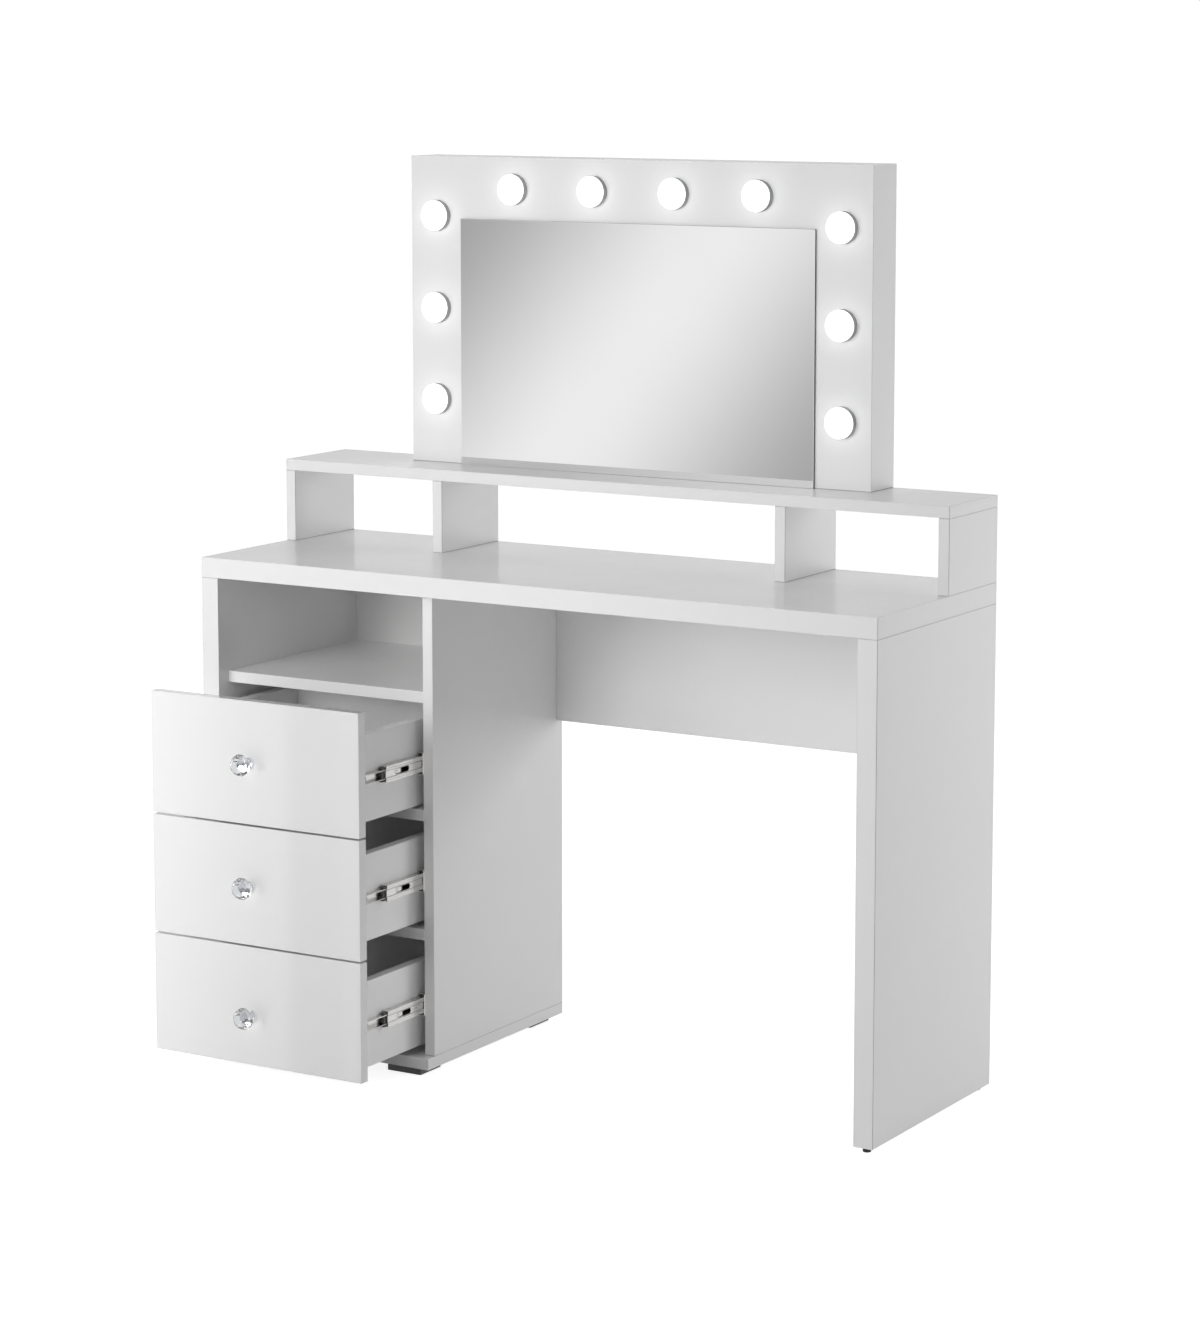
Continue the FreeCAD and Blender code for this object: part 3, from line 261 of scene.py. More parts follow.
@dataclass(frozen=True)
class Finish:
    """One finish: its colour, how it varies and how it shines."""

    name: str
    skin: Skin
    colour: Colour
    roughness: float
    shade: float = 0.03
    spread: float = 0.03
    relief: float = 0.0
    metallic: float = 0.0
    coat: float = 0.0
    coat_roughness: float = 0.03
    transmission: float = 0.0
    ior: float = 1.5
    specular: float = 0.5

    def build(self) -> Material:
        """Makes the finish's material.

        Returns:
            The new material.
        """
        material = bpy.data.materials.new(self.name)
        material.use_nodes = True
        bench = NodeBench(material.node_tree)
        skin = bench.put("Group", {
            "Place": bench.put("TexCoord").outputs["Object"], "Colour": self.colour, "Shade": self.shade,
            "Roughness": self.roughness, "Spread": self.spread,
        }, node_tree=bpy.data.node_groups[self.skin.value]).outputs
        shader = material.node_tree.nodes["Principled BSDF"]
        bench.fill(shader, {
            "Base Color": skin["Colour"], "Roughness": skin["Roughness"], "Metallic": self.metallic,
            "Coat Weight": self.coat, "Coat Roughness": self.coat_roughness, "IOR": self.ior,
            "Transmission Weight": self.transmission, "Specular IOR Level": self.specular,
        })
        if self.relief:
            bump = bench.put("Bump", {"Distance": self.relief, "Height": skin["Relief"]})
            bench.fill(shader, {"Normal": bump.outputs["Normal"]})
        return material


@dataclass(frozen=True)
class BoardFinish(Finish):
    """A board's lacquer, with thin dark lines of painted shade where an upright meets a board and, on side
    faces, just behind a listed board's front.
    """

    skin: Skin = Skin.LACQUER
    colour: Colour = (0.91, 0.91, 0.91, 1.0)
    roughness: float = 0.2
    shade: float = 0.015
    relief: float = 0.000008
    specular: float = 0.3
    above: tuple[str, ...] = ()
    below: tuple[str, ...] = ()
    fronts: tuple[str, ...] = ()
    # Width of each painted shade line.
    line: float = 0.001
    # How much the painted shade lines darken the lacquer.
    depth: float = 0.55

    def build(self) -> Material:
        """Makes the lacquer and paints its shade lines.

        Returns:
            The new material.
        """
        material = super().build()
        bench = NodeBench(material.node_tree)
        place = bench.split(bench.put("TexCoord").outputs["Object"])
        facing = bench.split(bench.put("NewGeometry").outputs["Normal"])
        half = self.line / 2
        # Painted shade: dark lines along the board joints and just behind the front edges, where shadow falls
        # in the gaps.
        joints = [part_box(name)[1].z + half for name in self.above]
        joints += [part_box(name)[0].z - half for name in self.below]
        strips = [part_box(name)[0].y + half for name in self.fronts]
        upright = bench.calc("SUBTRACT", 1.0, bench.calc("ABSOLUTE", facing["Z"]))
        sideways = bench.calc("ABSOLUTE", facing["X"])
        lines = [(place["Z"], at, upright) for at in joints] + [(place["Y"], at, sideways) for at in strips]
        painted_shade_marks = [
            bench.calc("MULTIPLY", bench.calc("COMPARE", value, at, half), turn) for value, at, turn in lines
        ]
        painted_shade_lines = painted_shade_marks[0]
        for painted_shade_mark in painted_shade_marks[1:]:
            painted_shade_lines = bench.calc("MAXIMUM", painted_shade_lines, painted_shade_mark)
        # The lacquer's colour is darkened under the painted shade lines.
        shader = material.node_tree.nodes["Principled BSDF"]
        plain = shader.inputs["Base Color"].links[0].from_socket
        share = bench.calc("MULTIPLY", painted_shade_lines, self.depth)
        bench.fill(shader, {"Base Color": bench.mix(share, plain, BLACK)})
        return material


@dataclass(frozen=True)
class GlowFinish:
    """The lit face of a lamp, a little cooler and dimmer at its rim."""

    name: str
    middle: Colour
    rim: Colour
    strength: float
    roughness: float = 0.35
    rim_start: float = 0.8

    def build(self) -> None:
        """Makes the lit material."""
        material = bpy.data.materials.new(self.name)
        material.use_nodes = True
        bench = NodeBench(material.node_tree)
        rim = bench.put("Attribute", attribute_name=LampSet.RIM_LAYER, attribute_type="GEOMETRY")
        ramp = bench.put("ValToRGB", {"Fac": rim.outputs["Fac"]})
        first, last = ramp.color_ramp.elements
        first.position, first.color = self.rim_start, self.middle
        last.position, last.color = 1.0, self.rim
        colour = ramp.outputs["Color"]
        bench.fill(material.node_tree.nodes["Principled BSDF"], {
            "Base Color": colour, "Roughness": self.roughness,
            "Emission Color": colour, "Emission Strength": self.strength,
        })


class FinishBook:
    """Every finish of the table."""

    FINISHES: tuple[Finish | GlowFinish, ...] = (
        # The four board lacquers carry painted shade lines at their joints and front edges.
        BoardFinish("table_lacquer", below=("table_top",), fronts=("table_top",)),
        BoardFinish("pedestal_lacquer", above=("pedestal_bottom",), below=("table_top",)),
        BoardFinish("hutch_lacquer", above=("table_top",), below=("hutch_shelf",), fronts=("hutch_shelf",)),
        BoardFinish("mirror_lacquer", above=("hutch_shelf",), fronts=("mirror_front_panel",)),
        Finish("front_gloss", Skin.LACQUER, (0.79, 0.79, 0.79, 1.0), 0.07, 0.01, 0.02, 0.000002, coat=1.0),
        Finish("drawer_foil", Skin.LACQUER, (0.93, 0.93, 0.93, 1.0), 0.38, 0.02, 0.05, 0.00002, specular=0.3),
        Finish("back_sheet", Skin.LACQUER, (0.88, 0.88, 0.875, 1.0), 0.5, 0.03, 0.06, 0.00004, specular=0.3),
        Finish("silvered_glass", Skin.POLISHED, (0.94, 0.94, 0.94, 1.0), 0.008, 0.015, 0.006, metallic=1.0),
        Finish("glass_edge", Skin.POLISHED, (0.10, 0.115, 0.11, 1.0), 0.12, 0.2, 0.05, 0.00002),
        Finish("skirt_silver", Skin.MOULDED, (0.42, 0.42, 0.43, 1.0), 0.34, 0.1, 0.05, 0.000008,
               metallic=0.35),
        Finish("flat_cable", Skin.MOULDED, (0.74, 0.74, 0.73, 1.0), 0.5, 0.06, 0.05, 0.00002),
        Finish("driver_case", Skin.MOULDED, (0.55, 0.55, 0.55, 1.0), 0.5, 0.08, 0.06, 0.00003),
        Finish("inlet_plastic", Skin.MOULDED, (0.02, 0.02, 0.02, 1.0), 0.4, 0.2, 0.08, 0.00002),
        Finish("zinc_screw", Skin.POLISHED, (0.62, 0.62, 0.6, 1.0), 0.3, 0.2, 0.08, 0.00002, metallic=1.0),
        Finish("foot_plastic", Skin.MOULDED, (0.06, 0.06, 0.062, 1.0), 0.4, 0.15, 0.06, 0.00002),
        Finish("glide_plastic", Skin.MOULDED, (0.012, 0.012, 0.012, 1.0), 0.35, 0.2, 0.08, 0.00002),
        Finish("keeper_plastic", Skin.MOULDED, (0.075, 0.07, 0.066, 1.0), 0.4, 0.2, 0.08, 0.00002),
        Finish("beech", Skin.ROLLED, (0.62, 0.45, 0.28, 1.0), 0.55, 0.2, 0.08, 0.00003),
        Finish("rail_zinc", Skin.ROLLED, (0.76, 0.75, 0.735, 1.0), 0.27, 0.12, 0.08, 0.000006, metallic=1.0),
        Finish("knob_metal", Skin.POLISHED, (0.80, 0.80, 0.82, 1.0), 0.08, 0.05, 0.04, metallic=1.0),
        Finish("cut_crystal", Skin.POLISHED, (0.89, 0.90, 0.92, 1.0), 0.012, 0.02, 0.008,
               transmission=1.0, ior=1.52),
        GlowFinish("lamp_glow", (1.0, 1.0, 1.0, 1.0), (0.9, 0.92, 0.95, 1.0), 1.3),
    )

    def build(self) -> None:
        """Makes the shared effects and then every finish."""
        for item in (*SKIN_PATTERNS, *self.FINISHES):
            item.build()


def shift(shape: BMesh, geometry: Iterable[Any], way: Point | Vector) -> None:
    """Moves the vertices among some geometry of a shape."""
    points = [element for element in geometry if isinstance(element, BMVert)]
    bmesh.ops.translate(shape, verts=points, vec=way)


def merge(target: BMesh, piece: BMesh, place: Matrix | None = None) -> None:
    """Adds a shape to another one and frees it.

    Args:
        target: The shape that grows.
        piece: The shape that is added.
        place: Where the added shape goes.
    """
    if place is not None:
        bmesh.ops.transform(piece, matrix=place, verts=piece.verts[:])
        if place.determinant() < 0.0:
            bmesh.ops.reverse_faces(piece, faces=piece.faces[:])
    carrier = bpy.data.meshes.new("carrier")
    piece.to_mesh(carrier)
    piece.free()
    target.from_mesh(carrier)
    bpy.data.meshes.remove(carrier)


def turned(profile: Profile, axis: Axis, steps: int) -> BMesh:
    """Turns a profile about an axis through the origin.

    Args:
        profile: Radius and height of each point, from one end to the other.
        axis: The axis to spin about.
        steps: Facets round the axis.

    Returns:
        The turned shape.
    """
    shape = bmesh.new()
    points = [shape.verts.new(axis.point(radius, height)) for radius, height in profile]
    runs = [shape.edges.new(pair) for pair in zip(points, points[1:])]
    bmesh.ops.spin(shape, geom=[*points, *runs], cent=(0.0, 0.0, 0.0), axis=axis.direction,
                   angle=math.tau, steps=steps, use_merge=True)
    bmesh.ops.remove_doubles(shape, verts=shape.verts[:], dist=WELD)
    bmesh.ops.recalc_face_normals(shape, faces=shape.faces[:])
    return shape


def eased_block(low: Point, high: Point, ease: float, segments: int = 2) -> BMesh:
    """Makes a block with rounded edges.

    Args:
        low: The lowest corner.
        high: The highest corner.
        ease: The rounding of the edges.
        segments: Facets of the rounding.

    Returns:
        The block.
    """
    shape = bmesh.new()
    first, last = Vector(low), Vector(high)
    place = Matrix.Translation((first + last) / 2) @ Matrix.Diagonal((*(last - first), 1.0))
    bmesh.ops.create_cube(shape, size=1.0, matrix=place)
    bmesh.ops.bevel(shape, geom=shape.edges[:], offset=ease, offset_type="OFFSET", affect="EDGES",
                    segments=segments, profile=0.5, material=-1, clamp_overlap=True)
    return shape


def rolled_strip(line: Profile, front: float, back: float, wall: float, bend: float) -> BMesh:
    """Rolls a steel strip to a section and gives it its wall.

    Args:
        line: Across and up of each corner of the section's outer face.
        front: The strip's front end.
        back: The strip's back end.
        wall: The thickness of the steel.
        bend: The rounding of the corners.

    Returns:
        The rolled strip.
    """
    shape = bmesh.new()
    points = [shape.verts.new((across, front, up)) for across, up in line]
    runs = [shape.edges.new(pair) for pair in zip(points, points[1:])]
    made = bmesh.ops.extrude_edge_only(shape, edges=runs)["geom"]
    shift(shape, made, (0.0, back - front, 0.0))
    folds = [edge for edge in shape.edges if len(edge.link_faces) == 2]
    bmesh.ops.bevel(shape, geom=folds, offset=bend, offset_type="OFFSET", affect="EDGES",
                    segments=BEND_SEGMENTS, profile=0.5, material=-1, clamp_overlap=True)
    bmesh.ops.solidify(shape, geom=shape.faces[:], thickness=wall)
    bmesh.ops.recalc_face_normals(shape, faces=shape.faces[:])
    return shape


def slotted_plate(
    length: float, height: float, slot: tuple[float, float], slot_height: float, wall: float
) -> BMesh:
    """Cuts a flat plate with a round-ended slot, lying in X and Y with its thickness up.

    Args:
        length: The plate's length, from X zero.
        height: The plate's height, evenly about Y zero.
        slot: The slot's start and end along X.
        slot_height: The slot's height.
        wall: The plate's thickness.

    Returns:
        The plate.
    """
    shape = bmesh.new()
    place = Matrix.Translation((length / 2, 0.0, 0.0)) @ Matrix.Diagonal((length, height, 1.0, 1.0))
    bmesh.ops.create_grid(shape, x_segments=1, y_segments=1, size=0.5, matrix=place)
    bmesh.ops.delete(shape, geom=shape.faces[:], context="FACES_ONLY")
    start, end = slot
    radius = slot_height / 2
    turn = Matrix.Rotation(math.pi / SLOT_STEPS, 4, "Z")
    ring = bmesh.ops.create_circle(shape, segments=SLOT_STEPS, radius=radius, matrix=turn)["verts"]
    fore = [point for point in ring if point.co.x < 0.0]
    rear = [point for point in ring if point.co.x > 0.0]
    shift(shape, fore, (start + radius, 0.0, 0.0))
    shift(shape, rear, (end - radius, 0.0, 0.0))
    bmesh.ops.triangle_fill(shape, edges=shape.edges[:], use_beauty=True)
    made = bmesh.ops.extrude_face_region(shape, geom=shape.faces[:])["geom"]
    shift(shape, made, (0.0, 0.0, wall))
    bmesh.ops.recalc_face_normals(shape, faces=shape.faces[:])
    return shape


def repeat(shape: BMesh, places: Sequence[Point]) -> None:
    """Copies a shape made at the origin to each place.

    Args:
        shape: The shape, which becomes the whole set.
        places: Where the copies go.
    """
    first = [*shape.verts, *shape.edges, *shape.faces]
    for place in places[1:]:
        made = bmesh.ops.duplicate(shape, geom=first)["geom"]
        shift(shape, made, place)
    shift(shape, first, places[0])


def settle(
    name: str,
    shape: BMesh,
    finishes: Sequence[str],
    body: str,
    replaced: Sequence[str] = (),
    crease: float = 35.0,
) -> bpy.types.Object:
    """Makes a finished piece of a shape and puts it on its body.

    Args:
        name: The piece's name.
        shape: Its shape, which is freed.
        finishes: Its finishes, in the order of the faces' indices.
        body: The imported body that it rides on.
        replaced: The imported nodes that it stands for.
        crease: The angle past which an edge stays sharp, in degrees.

    Returns:
        The new piece.
    """
    mesh = bpy.data.meshes.new(name)
    shape.to_mesh(mesh)
    shape.free()
    for finish in finishes:
        mesh.materials.append(bpy.data.materials[finish])
    for face in mesh.polygons:
        face.use_smooth = crease > 0.0
    if crease > 0.0:
        mesh.set_sharp_from_angle(angle=math.radians(crease))
    piece = bpy.data.objects.new(name, mesh)
    bpy.context.scene.collection.objects.link(piece)
    if crease > 0.0:
        piece.modifiers.new("even_faces", "WEIGHTED_NORMAL").keep_sharp = True
    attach(piece, body)
    if replaced:
        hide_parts(*replaced)
    LOG.info("%s on %s, %d faces", name, body, len(mesh.polygons))
    return piece


def dress(frame: dict[str, Any], nodes: Iterable[str], finish: str) -> None:
    """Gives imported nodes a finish.

    Args:
        frame: The loaded frame.
        nodes: The names of the nodes.
        finish: The finish's name.
    """
    for name in nodes:
        for holder in frame["nodes"][name].material_slots:
            holder.material = bpy.data.materials[finish]
        LOG.info("%s in %s", name, finish)


@dataclass
class Carcass:
    """The boards of the table, raised shelf and mirror box, with the feet and glides below."""

    foot_size: Point = (0.062, 0.057, 0.013)
    foot_ease: float = 0.0004
    foot_segments: int = 3
    foot_rim: float = 0.004
    foot_hollow: float = 0.002
    foot_columns: tuple[float, float] = (-0.579, -0.256)
    foot_rows: tuple[float, float] = (-0.0845, 0.2385)
    glide_radius: float = 0.0065
    glide_height: float = 0.008
    glide_steps: int = 28
    glide_places: tuple[Point, Point] = ((0.584, -0.0805, 0.0), (0.584, 0.2915, 0.0))

    BOARDS = {
        "table_lacquer": ("table_top", "left_side_panel", "right_side_panel", "modesty_panel"),
        "pedestal_lacquer": (
            "partition_panel", "pedestal_bottom", "niche_shelf", "upper_divider", "lower_divider"),
        "hutch_lacquer": (
            "hutch_shelf", "hutch_left_end", "hutch_left_support", "hutch_right_support", "hutch_right_end"),
        "mirror_lacquer": (
            "mirror_front_panel", "mirror_box_left", "mirror_box_right", "mirror_box_top",
            "mirror_box_bottom"),
    }
    SHEETS = ("pedestal_back", "mirror_back_panel")
    FITTINGS = {
        "lamp_wiring": "flat_cable",
        "led_driver": "driver_case",
        "power_inlet": "inlet_plastic",
        "mirror_fixing_screws": "zinc_screw",
        "assembly_dowels": "beech",
    }

    def dress_boards(self, frame: dict[str, Any]) -> None:
        """Gives the boards, back sheets and hidden fittings their finishes.

        Args:
            frame: The loaded frame.
        """
        for finish, nodes in self.BOARDS.items():
            dress(frame, nodes, finish)
        dress(frame, self.SHEETS, "back_sheet")
        for node, finish in self.FITTINGS.items():
            dress(frame, (node,), finish)

    def build_feet(self) -> None:
        """Makes the four flat feet, each hollow underneath."""
        shape = eased_block((0.0, 0.0, 0.0), self.foot_size, self.foot_ease, self.foot_segments)
        sole = [min(shape.faces, key=lambda face: face.calc_center_median().z)]
        bmesh.ops.inset_region(shape, faces=sole, thickness=self.foot_rim)
        made = bmesh.ops.extrude_face_region(shape, geom=sole)["geom"]
        shift(shape, made, (0.0, 0.0, self.foot_hollow))
        bmesh.ops.delete(shape, geom=sole, context="FACES_ONLY")
        repeat(shape, [(column, row, 0.0) for column in self.foot_columns for row in self.foot_rows])
        settle("flat_feet", shape, ["foot_plastic"], "carcass", ["pedestal_feet"])

    def build_glides(self) -> None:
        """Makes the two round glides under the right panel."""
        radius, height = self.glide_radius, self.glide_height
        profile = (
            (0.0, 0.0), (radius - 0.0016, 0.0), (radius - 0.0005, 0.0004), (radius, 0.0014), (radius, 0.0042),
            (radius - 0.0006, 0.0049), (radius - 0.0018, 0.0054), (radius - 0.0018, height), (0.0, height),
        )
        shape = turned(profile, Axis.UP, self.glide_steps)
        repeat(shape, self.glide_places)
        settle("round_glides", shape, ["glide_plastic"], "carcass", ["panel_glides"])


@dataclass
class MirrorGlass:
    """The silvered glass with its polished edge."""

    ease: float = 0.0007
    face_tilt: float = 0.9

    def build(self) -> None:
        """Makes the glass, its face silvered and its edges dark."""
        low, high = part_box("mirror_glass")
        shape = eased_block(tuple(low), tuple(high), self.ease)
        for face in shape.faces:
            face.material_index = 0 if abs(face.normal.y) > self.face_tilt else 1
        settle("silvered_mirror", shape, ["silvered_glass", "glass_edge"], "carcass",
               ["mirror_glass"])


@dataclass
class LampSet:
    """The ten round lamps beside and above the glass."""

    radius: float = 0.025
    skirt_depth: float = 0.010
    cap_rise: float = 0.004
    cap_margin: float = 0.0006
    neck_radius: float = 0.0124
    neck_tail: float = 0.022
    edge_inset: float = 0.050
    side_drop: float = 0.095
    side_pitch: float = 0.148
    side_count: int = 3
    top_drop: float = 0.0505
    top_pitch: float = 0.1475
    top_steps: tuple[float, ...] = (-1.5, -0.5, 0.5, 1.5)
    steps: int = 64

    RIM_LAYER = "rim"

    def places(self) -> list[Point]:
        """Where the lamps stand on the mirror panel's face.

        Returns:
            The middle of each lamp's back.
        """
        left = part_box("mirror_box_left")[0].x + self.edge_inset
        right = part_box("mirror_box_right")[1].x - self.edge_inset
        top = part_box("mirror_box_top")[1].z
        middle = (left + right) / 2
        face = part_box("mirror_front_panel")[0].y
        row = [(middle + self.top_pitch * step, face, top - self.top_drop) for step in self.top_steps]
        columns = [
            (across, face, top - self.side_drop - self.side_pitch * step)
            for across in (left, right) for step in range(self.side_count)
        ]
        return row + columns

    def build(self) -> None:
        """Makes the skirts with their necks, and the lit caps."""
        places = self.places()
        outer, depth = self.radius, self.skirt_depth
        skirt = turned((
            (0.0, -self.neck_tail), (self.neck_radius - 0.001, -self.neck_tail),
            (self.neck_radius, -self.neck_tail + 0.001), (self.neck_radius, 0.0), (outer - 0.0008, 0.0),
            (outer, 0.0008), (outer, depth - 0.0012), (outer - 0.0003, depth - 0.0004),
            (outer - 0.0008, depth), (outer - 0.0022, depth - 0.0002), (0.0, depth - 0.0002),
        ), Axis.FORWARD, self.steps)
        repeat(skirt, places)
        settle("turned_lamp_skirts", skirt, ["skirt_silver"], "carcass", ["lamp_skirts"])
        edge, rise = outer - self.cap_margin, self.cap_rise
        cap = turned((
            (0.0, depth - 0.0001), (edge - 0.0004, depth - 0.0001), (edge, depth + 0.0003),
            (edge - 0.0002, depth + 0.25 * rise), (edge - 0.0012, depth + 0.45 * rise),
            (0.88 * edge, depth + 0.62 * rise), (0.7 * edge, depth + 0.8 * rise),
            (0.45 * edge, depth + 0.93 * rise), (0.2 * edge, depth + 0.99 * rise), (0.0, depth + rise),
        ), Axis.FORWARD, self.steps)
        rim = cap.verts.layers.float.new(self.RIM_LAYER)
        for point in cap.verts:
            point[rim] = math.hypot(point.co.x, point.co.z) / edge
        repeat(cap, places)
        settle("domed_lamp_caps", cap, ["lamp_glow"], "carcass", ["lamp_diffusers"])


@dataclass
class CrystalKnob:
    """A cut crystal knob on a turned metal base, with the screw that holds it."""

    drawer: Drawer
    facets: int = 12
    back_radius: float = 0.008
    girdle_radius: float = 0.017
    crown_radius: float = 0.0148
    table_radius: float = 0.0098
    girdle_start: float = 0.008
    girdle_end: float = 0.011
    crown_height: float = 0.0162
    length: float = 0.020
    base_length: float = 0.012
    flange_radius: float = 0.010
    flange_height: float = 0.003
    stem_radius: float = 0.005
    screw_radius: float = 0.0042
    screw_height: float = 0.0025
    front_thickness: float = 0.018
    base_steps: int = 40
    screw_steps: int = 24
    facet_tilt: float = 0.01

    def seat(self) -> Vector:
        """Finds the knob's seat.

        Returns:
            Where the knob's axis meets the drawer front's face.
        """
        low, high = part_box(self.drawer.node("knob_crystal"))
        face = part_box(self.drawer.node("drawer_front"))[0].y
        return Vector(((low.x + high.x) / 2, face, (low.z + high.z) / 2))

    def build(self) -> None:
        """Makes the crystal, the base and its screw."""
        seat = self.seat()
        self._crystal(seat)
        self._base(seat)

    def _crystal(self, seat: Vector) -> None:
        """Cuts the crystal from rings of facets.

        Args:
            seat: The knob's axis on the drawer front.
        """
        shape = bmesh.new()
        half = math.pi / self.facets
        rings = (
            (self.back_radius, 0.0, 0.0), (self.girdle_radius, self.girdle_start, half),
            (self.girdle_radius, self.girdle_end, half), (self.crown_radius, self.crown_height, 0.0),
            (self.table_radius, self.length, half),
        )
        loops: list[list[BMEdge]] = []
        for radius, height, turn in rings:
            place = Matrix.Translation((0.0, -height, 0.0)) @ Matrix.Rotation(math.pi / 2, 4, "X")
            ring = bmesh.ops.create_circle(shape, segments=self.facets, radius=radius,
                                           matrix=place @ Matrix.Rotation(turn, 4, "Z"))["verts"]
            loops.append(list({edge for point in ring for edge in point.link_edges}))
        for lower, upper in zip(loops, loops[1:]):
            bmesh.ops.bridge_loops(shape, edges=[*lower, *upper])
        for loop in (loops[0], loops[-1]):
            bmesh.ops.holes_fill(shape, edges=loop, sides=self.facets)
        bmesh.ops.connect_verts_nonplanar(shape, angle_limit=self.facet_tilt, faces=shape.faces[:])
        bmesh.ops.recalc_face_normals(shape, faces=shape.faces[:])
        shift(shape, shape.verts[:], seat - Vector((0.0, self.base_length, 0.0)))
        piece = settle(self.drawer.node("cut_crystal"), shape, ["cut_crystal"],
                       self.drawer.body, [self.drawer.node("knob_crystal")], crease=0.0)
        piece.visible_shadow = False

    def _base(self, seat: Vector) -> None:
        """Turns the base and the screw behind the drawer front.

        Args:
            seat: The knob's axis on the drawer front.
        """
        flange, stem, end = self.flange_radius, self.stem_radius, self.base_length
        shape = turned((
            (0.0, 0.0), (flange - 0.0004, 0.0), (flange, 0.0004), (flange, 0.0016), (flange - 0.0005, 0.0023),
            (flange - 0.0016, self.flange_height), (stem + 0.0012, self.flange_height + 0.0004),
            (stem + 0.0003, self.flange_height + 0.0012), (stem, self.flange_height + 0.0026),
            (stem, end - 0.0034), (stem + 0.0006, end - 0.0022), (self.back_radius - 0.0008, end - 0.0006),
            (self.back_radius - 0.0004, end - 0.0002), (0.0, end - 0.0002),
        ), Axis.FORWARD, self.base_steps)
        thickness = self.front_thickness
        head = turned((
            (0.0, -thickness), (0.0019, -thickness), (self.screw_radius, -thickness),
            (self.screw_radius, -thickness - 0.0009), (0.0036, -thickness - 0.0019),
            (0.0022, -thickness - self.screw_height), (0.0013, -thickness - self.screw_height),
            (0.0008, -thickness - 0.0012), (0.0, -thickness - 0.0012),
        ), Axis.FORWARD, self.screw_steps)
        merge(shape, head)
        shift(shape, shape.verts[:], seat)
        settle(self.drawer.node("turned_knob_base"), shape, ["knob_metal"],
               self.drawer.body, [self.drawer.node("knob_base")])


@dataclass(frozen=True)
class KeeperArms:
    """The two strips of a ball keeper, in the races above and below a rail member."""

    across: tuple[float, float]
    along: tuple[float, float]
    inner_gap: float
    outer_gap: float
    ease: float = 0.0006

    def add(self, shape: BMesh, front: float, race: tuple[float, float], place: Matrix | None = None) -> None:
        """Adds both strips to a shape.

        Args:
            shape: The shape that grows.
            front: Where along is measured from.
            race: The race's inner and outer height from the rail's middle.
            place: Where the strips go.
        """
        inner, outer = race[0] + self.inner_gap, race[1] - self.outer_gap
        near, far = self.across
        start, end = front + self.along[0], front + self.along[1]
        for low, high in ((inner, outer), (-outer, -inner)):
            merge(shape, eased_block((near, start, low), (far, end, high), self.ease), place)


